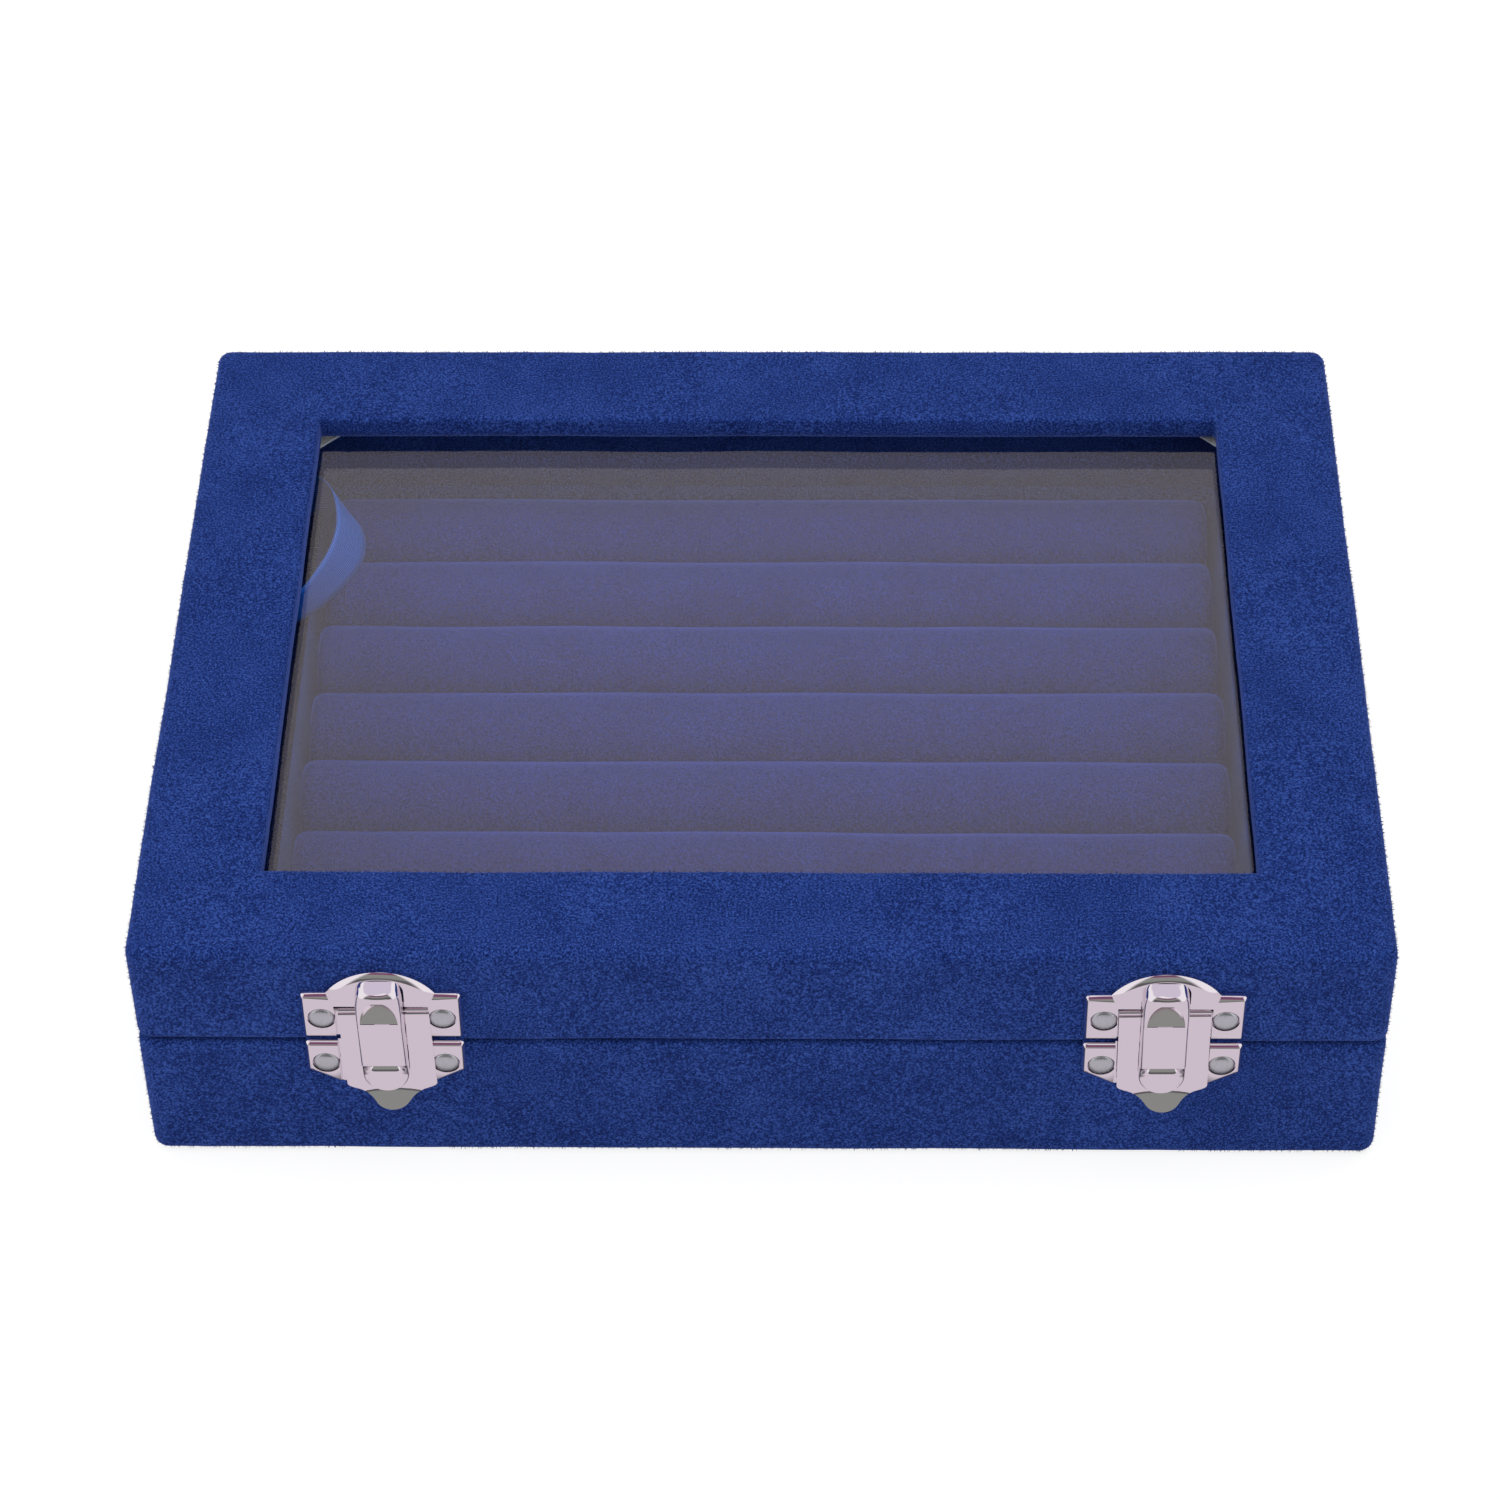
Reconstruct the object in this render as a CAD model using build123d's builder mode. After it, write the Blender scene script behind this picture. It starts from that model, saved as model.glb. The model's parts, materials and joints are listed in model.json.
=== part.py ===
from build123d import *
import os

# Ring display box: a velvet covered board box with a glazed lid on two butt hinges,
# seven foam ring rolls in a tray, two duckbill latches and one ribbon stay.
# Millimetres. The origin is the centre of the underside, x to the right, y to the back.

# Box
box_w = 200.0
box_d = 150.0
box_h = 48.0
velvet = 1.0
board = 4.0
floor_t = 3.0
base_rim = 26.9
lid_rim = 27.7
corner_r = 2.5
edge_r = 2.0
rim_r = 1.0
sheet_t = 1.0
velvet_lift = 0.2
lining_t = 0.8
slip = 0.2
past = 1.0  # how far a cut runs past the face it leaves by

# Lid window and glass
window_w = 159.4
window_d = 111.5
window_x = -0.3
window_y = -0.9
mouth_r = 0.9
top_board_t = 3.0
glass_t = 2.0
retainer_t = 2.0
retainer_open_w = 168.0
retainer_open_d = 120.0
card_t = 0.4
card_leg = 9.4

# Ring tray and rolls
roll_count = 7
roll_pitch = 16.9
roll_w = 16.5
roll_top = 30.0
roll_len = 157.2
roll_end_r = 1.5
roll_draw = 0.4
tray_w = 162.0
tray_d = 122.0
tray_wall = 2.0
tray_rim = 27.5

# Latches: x of each, and the stampings that each is made of
latch_x = {"left": -60.0, "right": 64.0}
plate_t = 1.5
plate_bevel = 0.9
upper_ear_r = 1.2
lower_ear_r = 1.1
web_t = 0.4
ear_w = 25.1
upper_low = 29.5
upper_ear = 39.6
arch_half = 8.6
arch_top = 44.3
lower_ear = 21.8
lower_top = 28.5
lower_foot = 18.5
foot_half = 7.2
groove_low = 35.0
groove_high = 37.2
channel_w = 15.0
rivet_x = 9.6
rivet_head_r = 2.1
rivet_seat_r = 2.25
rivet_seat_d = 0.9
rivet_rise = 0.35
dome_drop = 0.5
dome_run = 0.9
shank_r = 0.9
shank_depth = 4.4
upper_rivet_z = 34.4
lower_rivet_z = 23.9

# Flap
flap_w = 14.5
flap_back = 1.1
flap_front = 1.8
flap_shoulder = 19.0
flap_side = ((4.3, 17.75), (2.45, 16.5))
flap_tip = 15.6
flap_end = 15.2
flap_bend = 18.4
flap_lift = 2.8
lip_t = 0.5
bend_inside = 0.3
flap_top = 35.7
flap_pin_d = 0.9
flap_pin_z = 36.0
flap_pin_r = 0.35
knuckle_r = 0.8
running = 0.05

# Bill
bill_w = 7.2
bill_cheek = 0.6
bill_front = 4.5
bill_back = 2.1
bill_hood = 1.5
hood_low = 39.2
cheek_high = 38.6
bill_pin_d = 3.0
bill_pin_z = 40.5
bill_pin_r = 0.5
hood_top = 43.0
hood_r = 2.6
bill_step = 26.8
bill_neck = 25.6
bill_tongue = 3.1
bill_tip = 19.2
tongue_t = 0.8
neck_inside = 25.0
step_inside = 27.1
arch_base = 36.3
arch_crown = 42.7
ramp_line = ((4.5, 36.3), (3.0, 38.8), (2.55, 38.6), (3.9, 35.8))
ramp_gap = 0.3
lug_w = 2.4
lug_r = 0.85
lug_low = 38.4
lug_line = ((0.3, 37.5), (1.5, 37.5), (2.0, 38.4), (2.8, 39.7), (2.2, 40.2), (1.6, 38.6), (0.3, 37.9))
bay_w = 7.6
bay_top = 43.2
tab_w = 4.0
tab_z = 24.3
tab_t = 0.8
tab_end = 1.1
tab_root = 3.0
slot_w = 5.2
slot_low = 22.8
slot_high = 26.6
nib_w = 4.0
nib_z = 25.6
nib_rise = 0.35
coil_near = 1.3
coil_far = 1.9
coil_r = 0.8
coil_leg = 1.6
coil_wire = 0.2
coil_leg_w = 0.4
pin_seat = 0.4

# Rear hinges
hinge_x = {"left": -62.0, "right": 62.0}
hinge_len = 24.0
centre_len = 8.0
knuckle_gap = 0.15
leaf_t = 0.8
leaf_h = 11.0
axis_d = 1.7
axis_z = 27.3
barrel_r = 1.5
hinge_pin_r = 0.7
barrel_clear = 0.25
tack_x = 7.5
tack_drop = 6.8
tack_head_r = 1.7
tack_head_t = 0.6
tack_r = 0.8

# Ribbon stay, a strip on edge from the lid's wall to the base's wall further back
stay_t = 0.3
stay_upper = (30.3, 39.7)
stay_lower = (15.0, 25.0)
stay_lid_tab = (7.0, 13.0)
stay_base_tab = (58.5, 65.0)
stay_rise = (-80.5, 19.5)
stay_bulge = (-73.4, 33.0)
stay_fall = (-75.6, 44.5)
stay_return = (-83.5, 54.5)
stay_close = (-88.3, 58.0)
stay_base_tack_y = 62.75
stay_lid_tack_y = 10.0

half_w = box_w / 2
half_d = box_d / 2
board_w = box_w - 2 * velvet
board_d = box_d - 2 * velvet
wall_w = board_w - 2 * board
wall_d = board_d - 2 * board
room_w = wall_w - 2 * velvet
room_d = wall_d - 2 * velvet
floor_top = sheet_t + floor_t
glass_top = box_h - velvet - top_board_t
glass_low = glass_top - glass_t
retainer_low = glass_low - retainer_t
base_board_top = base_rim - velvet
lid_board_low = lid_rim + velvet

front = Plane(origin=(0, -half_d, 0), x_dir=(1, 0, 0), z_dir=(0, -1, 0))
back = Plane(origin=(0, half_d, 0), x_dir=(-1, 0, 0), z_dir=(0, 1, 0))
left_room = Plane(origin=(-room_w / 2, 0, 0), x_dir=(0, -1, 0), z_dir=(-1, 0, 0))

upper_rivets = [(x + s * rivet_x, upper_rivet_z) for x in latch_x.values() for s in (-1, 1)]
lower_rivets = [(x + s * rivet_x, lower_rivet_z) for x in latch_x.values() for s in (-1, 1)]
base_tacks = [(-x + s * tack_x, axis_z - tack_drop) for x in hinge_x.values() for s in (-1, 1)]
lid_tacks = [(-x + s * tack_x, axis_z + tack_drop) for x in hinge_x.values() for s in (-1, 1)]
stay_base_tack = [(-stay_base_tack_y, sum(stay_lower) / 2)]
stay_lid_tack = [(-stay_lid_tack_y, sum(stay_upper) / 2)]

os.makedirs("parts", exist_ok=True)


def finish(piece, name):
    piece.part.label = name
    export_step(piece.part, f"parts/{name}.step")


def discs(plane, points, radius):
    """Round spots on a plane, for bores and shanks."""
    with BuildSketch(plane) as spots:
        with Locations(*points):
            Circle(radius)
    return spots.sketch


def face(x):
    """The front face at a latch: local x to the right, local y up, out of the box."""
    return Plane(origin=(x, -half_d, 0), x_dir=(1, 0, 0), z_dir=(0, -1, 0))


def flank(x):
    """The plane across a latch: local x out of the box, local y up."""
    return Plane(origin=(x, -half_d, 0), x_dir=(0, -1, 0), z_dir=(-1, 0, 0))


# Bottom sheet, floor board and floor lining
with BuildPart() as bottom_sheet:
    with BuildSketch(Plane.XY):
        Rectangle(room_w - slip, room_d - slip)
    extrude(amount=sheet_t)
finish(bottom_sheet, "bottom_sheet")

with BuildPart() as floor_board:
    with BuildSketch(Plane.XY.offset(sheet_t)):
        RectangleRounded(board_w, board_d, corner_r - velvet)
    extrude(amount=floor_t)
    fillet(floor_board.faces().sort_by(Axis.Z)[0].outer_wire().edges(), edge_r - velvet)
finish(floor_board, "base_floor_board")

with BuildPart() as floor_lining:
    with BuildSketch(Plane.XY.offset(floor_top)):
        Rectangle(room_w - slip, room_d - slip)
    extrude(amount=lining_t)
finish(floor_lining, "floor_lining")


def long_board(side, low, high, bores, name):
    """Front board at side -1, back board at side 1, across the whole width."""
    plane = front if side < 0 else back
    with BuildPart() as strip:
        with BuildSketch(Plane((0, side * (board_d - board) / 2, low))):
            Rectangle(board_w, board)
        extrude(amount=high - low)
        outer = strip.edges().filter_by(Axis.Z).group_by(Axis.Y)[0 if side < 0 else -1]
        fillet(outer, corner_r - velvet)
        extrude(discs(plane.offset(-shank_depth), *bores), amount=shank_depth, mode=Mode.SUBTRACT)
    finish(strip, name)


def short_board(side, low, high, bores, name):
    """Left board at side -1, right board at side 1, between the long boards."""
    with BuildPart() as strip:
        with BuildSketch(Plane((side * (board_w - board) / 2, 0, low))):
            Rectangle(board, wall_d)
        extrude(amount=high - low)
        if bores:
            extrude(discs(left_room, *bores), amount=shank_depth, mode=Mode.SUBTRACT)
    finish(strip, name)


# Base walls
long_board(-1, floor_top, base_board_top, (lower_rivets, shank_r), "base_front_board")
long_board(1, floor_top, base_board_top, (base_tacks, tack_r), "base_back_board")
short_board(-1, floor_top, base_board_top, (stay_base_tack, tack_r), "base_left_board")
short_board(1, floor_top, base_board_top, None, "base_right_board")

# Lid walls
long_board(-1, lid_board_low, glass_top, (upper_rivets, shank_r), "lid_front_board")
long_board(1, lid_board_low, glass_top, (lid_tacks, tack_r), "lid_back_board")
short_board(-1, lid_board_low, glass_top, (stay_lid_tack, tack_r), "lid_left_board")
short_board(1, lid_board_low, glass_top, None, "lid_right_board")

# Velvet of the base: outside, turned under the floor, over the rim and down inside
with BuildPart() as base_velvet:
    with BuildSketch(Plane.XY.offset(velvet_lift)):
        RectangleRounded(box_w, box_d, corner_r)
    extrude(amount=base_rim - velvet_lift)
    fillet(base_velvet.faces().sort_by(Axis.Z)[0].outer_wire().edges(), edge_r)
    fillet(base_velvet.faces().sort_by(Axis.Z)[-1].outer_wire().edges(), rim_r)
    with BuildSketch(Plane.XY.offset(sheet_t)):
        RectangleRounded(board_w, board_d, corner_r - velvet)
    extrude(amount=floor_t, mode=Mode.SUBTRACT)
    with BuildSketch(Plane.XY.offset(floor_top)):
        RectangleRounded(board_w, board_d, corner_r - velvet)
        Rectangle(wall_w, wall_d, mode=Mode.SUBTRACT)
    extrude(amount=base_board_top - floor_top, mode=Mode.SUBTRACT)
    with BuildSketch(Plane.XY):
        Rectangle(room_w, room_d)
    extrude(amount=base_rim, mode=Mode.SUBTRACT)
    extrude(discs(front.offset(-velvet), lower_rivets, shank_r), amount=velvet, mode=Mode.SUBTRACT)
    extrude(discs(back.offset(-velvet), base_tacks, tack_r), amount=velvet, mode=Mode.SUBTRACT)
    extrude(discs(left_room, stay_base_tack, tack_r), amount=velvet, mode=Mode.SUBTRACT)
finish(base_velvet, "base_velvet")

# Top board of the lid, with the window
with BuildPart() as top_board:
    with BuildSketch(Plane.XY.offset(glass_top)):
        RectangleRounded(board_w, board_d, corner_r - velvet)
        with Locations((window_x, window_y)):
            Rectangle(window_w + 2 * velvet, window_d + 2 * velvet, mode=Mode.SUBTRACT)
    extrude(amount=top_board_t)
    fillet(top_board.faces().sort_by(Axis.Z)[-1].outer_wire().edges(), edge_r - velvet)
finish(top_board, "lid_top_board")

# Velvet of the lid: outside, over the top, down the window, round the rim and up inside
with BuildPart() as lid_velvet:
    with BuildSketch(Plane.XY.offset(lid_rim)):
        RectangleRounded(box_w, box_d, corner_r)
    extrude(amount=box_h - lid_rim)
    fillet(lid_velvet.faces().sort_by(Axis.Z)[-1].outer_wire().edges(), edge_r)
    fillet(lid_velvet.faces().sort_by(Axis.Z)[0].outer_wire().edges(), rim_r)
    with BuildSketch(Plane.XY.offset(glass_top)):
        with Locations((window_x, window_y)):
            Rectangle(window_w, window_d)
    extrude(amount=box_h - glass_top, mode=Mode.SUBTRACT)
    mouth = lid_velvet.faces().sort_by(Axis.Z)[-1].inner_wires()[0].edges()
    fillet(mouth, mouth_r)
    with BuildSketch(Plane.XY.offset(glass_top)):
        RectangleRounded(board_w, board_d, corner_r - velvet)
        with Locations((window_x, window_y)):
            Rectangle(window_w + 2 * velvet, window_d + 2 * velvet, mode=Mode.SUBTRACT)
    extrude(amount=top_board_t, mode=Mode.SUBTRACT)
    with BuildSketch(Plane.XY.offset(lid_board_low)):
        RectangleRounded(board_w, board_d, corner_r - velvet)
        Rectangle(wall_w, wall_d, mode=Mode.SUBTRACT)
    extrude(amount=glass_top - lid_board_low, mode=Mode.SUBTRACT)
    with BuildSketch(Plane.XY.offset(lid_rim)):
        Rectangle(room_w, room_d)
    extrude(amount=glass_top - lid_rim, mode=Mode.SUBTRACT)
    extrude(discs(front.offset(-velvet), upper_rivets, shank_r), amount=velvet, mode=Mode.SUBTRACT)
    extrude(discs(back.offset(-velvet), lid_tacks, tack_r), amount=velvet, mode=Mode.SUBTRACT)
    extrude(discs(left_room, stay_lid_tack, tack_r), amount=velvet, mode=Mode.SUBTRACT)
finish(lid_velvet, "lid_velvet")

# Glass, the velvet faced card frame that holds it, and the bare card in the back corners
with BuildPart() as glass_pane:
    with BuildSketch(Plane.XY.offset(glass_low)):
        Rectangle(room_w - slip, room_d - slip)
    extrude(amount=glass_t)
finish(glass_pane, "glass_pane")

with BuildPart() as glass_retainer:
    with BuildSketch(Plane.XY.offset(retainer_low)):
        Rectangle(room_w - slip, room_d - slip)
        Rectangle(retainer_open_w, retainer_open_d, mode=Mode.SUBTRACT)
    extrude(amount=retainer_t)
finish(glass_retainer, "glass_retainer")

for name, side in (("left", -1), ("right", 1)):
    with BuildPart() as corner_card:
        with BuildSketch(Plane((side * retainer_open_w / 2, retainer_open_d / 2, glass_low - card_t))):
            with BuildLine():
                Polyline((0, 0), (-side * card_leg, 0), (0, -card_leg), (0, 0))
            make_face()
        extrude(amount=card_t)
    finish(corner_card, f"corner_card_{name}")

# Ring tray, glued to the floor lining, and its rolls of velvet covered foam
with BuildPart() as ring_tray:
    with BuildSketch(Plane.XY.offset(floor_top + lining_t)):
        RectangleRounded(tray_w, tray_d, tray_wall)
    extrude(amount=tray_rim - floor_top - lining_t)
    with BuildSketch(Plane.XY.offset(floor_top + lining_t + tray_wall)):
        Rectangle(tray_w - 2 * tray_wall, tray_d - 2 * tray_wall)
    extrude(amount=tray_rim, mode=Mode.SUBTRACT)
finish(ring_tray, "ring_tray")

roll_low = floor_top + lining_t + tray_wall
roll_axis = roll_top - roll_w / 2
for index in range(roll_count):
    roll_y = (roll_count - 1) / 2 * roll_pitch - index * roll_pitch
    with BuildPart() as roll:
        with BuildSketch(Plane(origin=(-roll_len / 2, roll_y, 0), x_dir=(0, 1, 0), z_dir=(1, 0, 0))):
            with BuildLine():
                foot = roll_w / 2 - roll_end_r
                waist = (roll_w / 2, roll_axis)
                drawn = (roll_w / 2 - roll_draw, (roll_low + roll_axis) / 2)
                Line((-foot, roll_low), (foot, roll_low))
                ThreePointArc((foot, roll_low), drawn, waist)
                ThreePointArc(waist, (0, roll_top), (-waist[0], roll_axis))
                ThreePointArc((-waist[0], roll_axis), (-drawn[0], drawn[1]), (-foot, roll_low))
            make_face()
        extrude(amount=roll_len)
        ends = roll.edges().filter_by(GeomType.CIRCLE).filter_by(lambda e: e.center().Z > roll_axis)
        fillet(ends, roll_end_r)
    finish(roll, f"ring_roll_{index + 1}")


def plate_rivets(x, z, name):
    """A pair of domed rivets in the seats of a plate, driven into the front board."""
    with BuildPart() as rivets:
        seat = face(x).offset(rivet_seat_d)
        with BuildSketch(seat):
            with Locations((-rivet_x, z), (rivet_x, z)):
                Circle(rivet_head_r)
        extrude(amount=plate_t - rivet_seat_d + rivet_rise)
        crowns = rivets.faces().filter_by(Axis.Y).group_by(Axis.Y)[0]
        chamfer(crowns.edges(), dome_drop, dome_run)
        extrude(discs(seat, [(-rivet_x, z), (rivet_x, z)], shank_r), amount=-rivet_seat_d - shank_depth)
    finish(rivets, name)


def tacks(plane, points, foot, name):
    """Flat headed tacks, their heads on the given height over the plane."""
    with BuildPart() as pair:
        extrude(discs(plane.offset(foot), points, tack_head_r), amount=tack_head_t)
        extrude(discs(plane.offset(foot), points, tack_r), amount=-foot - shank_depth + velvet_lift)
    finish(pair, name)


for name, x in latch_x.items():
    # Upper plate, with the groove for the flap, the bay for the bill and its lug
    with BuildPart() as upper_plate:
        with BuildSketch(face(x)):
            with BuildLine():
                ear = ear_w / 2
                ThreePointArc((-arch_half, upper_ear), (0, arch_top), (arch_half, upper_ear))
                Polyline((-arch_half, upper_ear), (-ear, upper_ear), (-ear, upper_low),
                         (ear, upper_low), (ear, upper_ear), (arch_half, upper_ear))
            make_face()
        extrude(amount=plate_t)
        corners = upper_plate.edges().filter_by(Axis.Y).group_by(Axis.X)
        fillet(corners[0] + corners[-1], upper_ear_r)
        chamfer(upper_plate.faces().sort_by(Axis.Y)[0].outer_wire().edges(), plate_bevel)
        with BuildSketch(face(x).offset(web_t)):
            with Locations((0, (upper_low + groove_high) / 2)):
                Rectangle(channel_w, groove_high - upper_low)
        extrude(amount=plate_t, mode=Mode.SUBTRACT)
        with BuildSketch(face(x)):
            with Locations((0, bay_top)):
                RectangleRounded(bay_w, bay_top - lug_low + hood_r, hood_r, align=(Align.CENTER, Align.MAX))
            with Locations((0, lug_low)):
                Rectangle(bay_w, hood_r + past, align=(Align.CENTER, Align.MAX), mode=Mode.SUBTRACT)
            with Locations((0, (groove_low + groove_high) / 2)):
                Rectangle(channel_w, groove_high - groove_low)
        extrude(amount=plate_t, mode=Mode.SUBTRACT)
        with BuildSketch(flank(x)):
            with BuildLine():
                Polyline(*lug_line, close=True)
            make_face()
            with Locations((bill_pin_d, bill_pin_z)):
                Circle(lug_r)
                Circle(bill_pin_r, mode=Mode.SUBTRACT)
        extrude(amount=lug_w / 2, both=True)
        rivets = [(-rivet_x, upper_rivet_z), (rivet_x, upper_rivet_z)]
        extrude(discs(face(x).offset(rivet_seat_d), rivets, rivet_seat_r), amount=plate_t, mode=Mode.SUBTRACT)
        extrude(discs(face(x), rivets, shank_r), amount=plate_t, mode=Mode.SUBTRACT)
        pin_hole = discs(flank(x), [(flap_pin_d, flap_pin_z)], flap_pin_r)
        extrude(pin_hole, amount=channel_w / 2 + pin_seat, both=True, mode=Mode.SUBTRACT)
    finish(upper_plate, f"upper_plate_{name}")
    plate_rivets(x, upper_rivet_z, f"upper_rivets_{name}")

    # Lower plate, with the web that the flap covers and the nib for the bill's tab
    with BuildPart() as lower_plate:
        with BuildSketch(face(x)):
            with BuildLine():
                Polyline((-ear, lower_ear), (-ear, lower_top), (ear, lower_top), (ear, lower_ear),
                         (foot_half, lower_foot), (-foot_half, lower_foot), (-ear, lower_ear))
            make_face()
        extrude(amount=plate_t)
        corners = lower_plate.edges().filter_by(Axis.Y).group_by(Axis.X)
        fillet(corners[0] + corners[-1], lower_ear_r)
        chamfer(lower_plate.faces().sort_by(Axis.Y)[0].outer_wire().edges(), plate_bevel)
        with BuildSketch(face(x).offset(web_t)):
            with Locations((0, (lower_foot + lower_top) / 2)):
                Rectangle(channel_w, lower_top - lower_foot + past)
        extrude(amount=plate_t, mode=Mode.SUBTRACT)
        with BuildSketch(face(x).offset(web_t)):
            with Locations((0, nib_z)):
                Rectangle(nib_w, 1)
        extrude(amount=nib_rise)
        rivets = [(-rivet_x, lower_rivet_z), (rivet_x, lower_rivet_z)]
        extrude(discs(face(x).offset(rivet_seat_d), rivets, rivet_seat_r), amount=plate_t, mode=Mode.SUBTRACT)
        extrude(discs(face(x), rivets, shank_r), amount=plate_t, mode=Mode.SUBTRACT)
    finish(lower_plate, f"lower_plate_{name}")
    plate_rivets(x, lower_rivet_z, f"lower_rivets_{name}")

    # Flap: a flat stamping on its knuckle, with the lip at its tip bent out at 45 degrees
    with BuildPart() as flap:
        with BuildSketch(flank(x)):
            with BuildLine():
                tip_front = (flap_front + flap_lift, flap_tip)
                tip_back = (flap_front + flap_lift - lip_t, flap_tip - lip_t)
                Polyline((flap_back, flap_top), (flap_front, flap_top), (flap_front, flap_bend),
                         tip_front, tip_back, (flap_back, flap_bend - bend_inside), (flap_back, flap_top))
            make_face()
        extrude(amount=flap_w / 2, both=True)
        with BuildSketch(face(x)):
            with BuildLine():
                half = flap_w / 2
                Polyline((-half, flap_shoulder), (-half, flap_pin_z + past), (half, flap_pin_z + past),
                         (half, flap_shoulder))
                mirrored = [(-side_x, side_z) for side_x, side_z in reversed(flap_side)]
                Spline((half, flap_shoulder), *flap_side, (0, flap_end), *mirrored,
                       (-half, flap_shoulder), tangents=((-0.6, -1), (-0.6, 1)))
            make_face()
        extrude(amount=flap_front + flap_lift + past, mode=Mode.INTERSECT)
        with BuildSketch(flank(x)):
            with Locations((flap_pin_d, flap_pin_z)):
                Circle(knuckle_r)
        extrude(amount=flap_w / 2, both=True)
        pin_bore = discs(flank(x), [(flap_pin_d, flap_pin_z)], flap_pin_r + running)
        extrude(pin_bore, amount=flap_w, both=True, mode=Mode.SUBTRACT)
        with BuildSketch(face(x)):
            with Locations((0, (slot_low + slot_high) / 2)):
                Rectangle(slot_w, slot_high - slot_low)
        extrude(amount=flap_front + past, mode=Mode.SUBTRACT)
    finish(flap, f"flap_{name}")

    with BuildPart() as flap_pin:
        shaft = discs(flank(x), [(flap_pin_d, flap_pin_z)], flap_pin_r)
        extrude(shaft, amount=channel_w / 2 + pin_seat, both=True)
    finish(flap_pin, f"flap_pin_{name}")

    # Bill: a channel stamping with an arched hood, the opening under it with its ramp, a step
    # and a round tongue, and a tab that passes through the flap
    with BuildPart() as bill:
        with BuildSketch(flank(x)):
            with BuildLine():
                Polyline((bill_hood, hood_top), (bill_hood, hood_low), (bill_back, cheek_high),
                         (bill_back, bill_tip), (bill_tongue, bill_tip), (bill_tongue, bill_neck),
                         (bill_front, bill_step), (bill_front, arch_crown), (bill_hood, hood_top))
            make_face()
        extrude(amount=bill_w / 2, both=True)
        half = bill_w / 2
        round_z = bill_tip + half
        with BuildSketch(face(x)):
            with Locations((0, hood_top)):
                RectangleRounded(bill_w, hood_top - round_z, hood_r, align=(Align.CENTER, Align.MAX))
            with Locations((0, round_z + half)):
                Rectangle(bill_w, bill_w)
            with Locations((0, round_z)):
                Circle(half)
        extrude(amount=bill_front + past, mode=Mode.INTERSECT)
        with BuildSketch(flank(x)):
            with BuildLine():
                wall = bill_front - bill_cheek
                Polyline((0, neck_inside), (bill_tongue - tongue_t, neck_inside), (wall, step_inside),
                         (wall, arch_base), (0, arch_base), (0, neck_inside))
            make_face()
        extrude(amount=half - bill_cheek, both=True, mode=Mode.SUBTRACT)
        inner = half - bill_cheek
        with BuildSketch(face(x)):
            with Locations((0, arch_crown - bill_cheek)):
                RectangleRounded(2 * inner, bill_w + 2 * past, hood_r - bill_cheek,
                                 align=(Align.CENTER, Align.MAX))
            with Locations((0, arch_base)):
                Rectangle(bill_w, bill_w, align=(Align.CENTER, Align.MAX), mode=Mode.SUBTRACT)
        extrude(amount=bill_front + past, mode=Mode.SUBTRACT)
        with BuildSketch(flank(x)):
            with BuildLine():
                Polyline(*ramp_line, close=True)
            make_face()
        extrude(amount=inner - ramp_gap, both=True)
        with BuildSketch(flank(x)):
            with Locations(((tab_end + tab_root) / 2, tab_z)):
                Rectangle(tab_root - tab_end, tab_t)
        extrude(amount=tab_w / 2, both=True)
        pin_bore = discs(flank(x), [(bill_pin_d, bill_pin_z)], bill_pin_r + running)
        extrude(pin_bore, amount=bill_w, both=True, mode=Mode.SUBTRACT)
    finish(bill, f"bill_{name}")

    with BuildPart() as bill_pin:
        extrude(discs(flank(x), [(bill_pin_d, bill_pin_z)], bill_pin_r), amount=bill_w / 2, both=True)
    finish(bill_pin, f"bill_pin_{name}")

    # Closing spring of the bill: a coil beside the lug, with one leg on the front wall
    with BuildPart() as bill_spring:
        with BuildSketch(flank(x).offset(coil_near)):
            with Locations((bill_pin_d, bill_pin_z)):
                Circle(coil_r)
                Circle(bill_pin_r + 2 * running, mode=Mode.SUBTRACT)
        extrude(amount=coil_far - coil_near)
        with BuildSketch(flank(x).offset(coil_far - coil_leg_w)):
            with Locations((bill_pin_d, bill_pin_z + coil_r - coil_wire / 2)):
                Rectangle(coil_leg, coil_wire)
        extrude(amount=coil_leg_w)
    finish(bill_spring, f"bill_spring_{name}")


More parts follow.
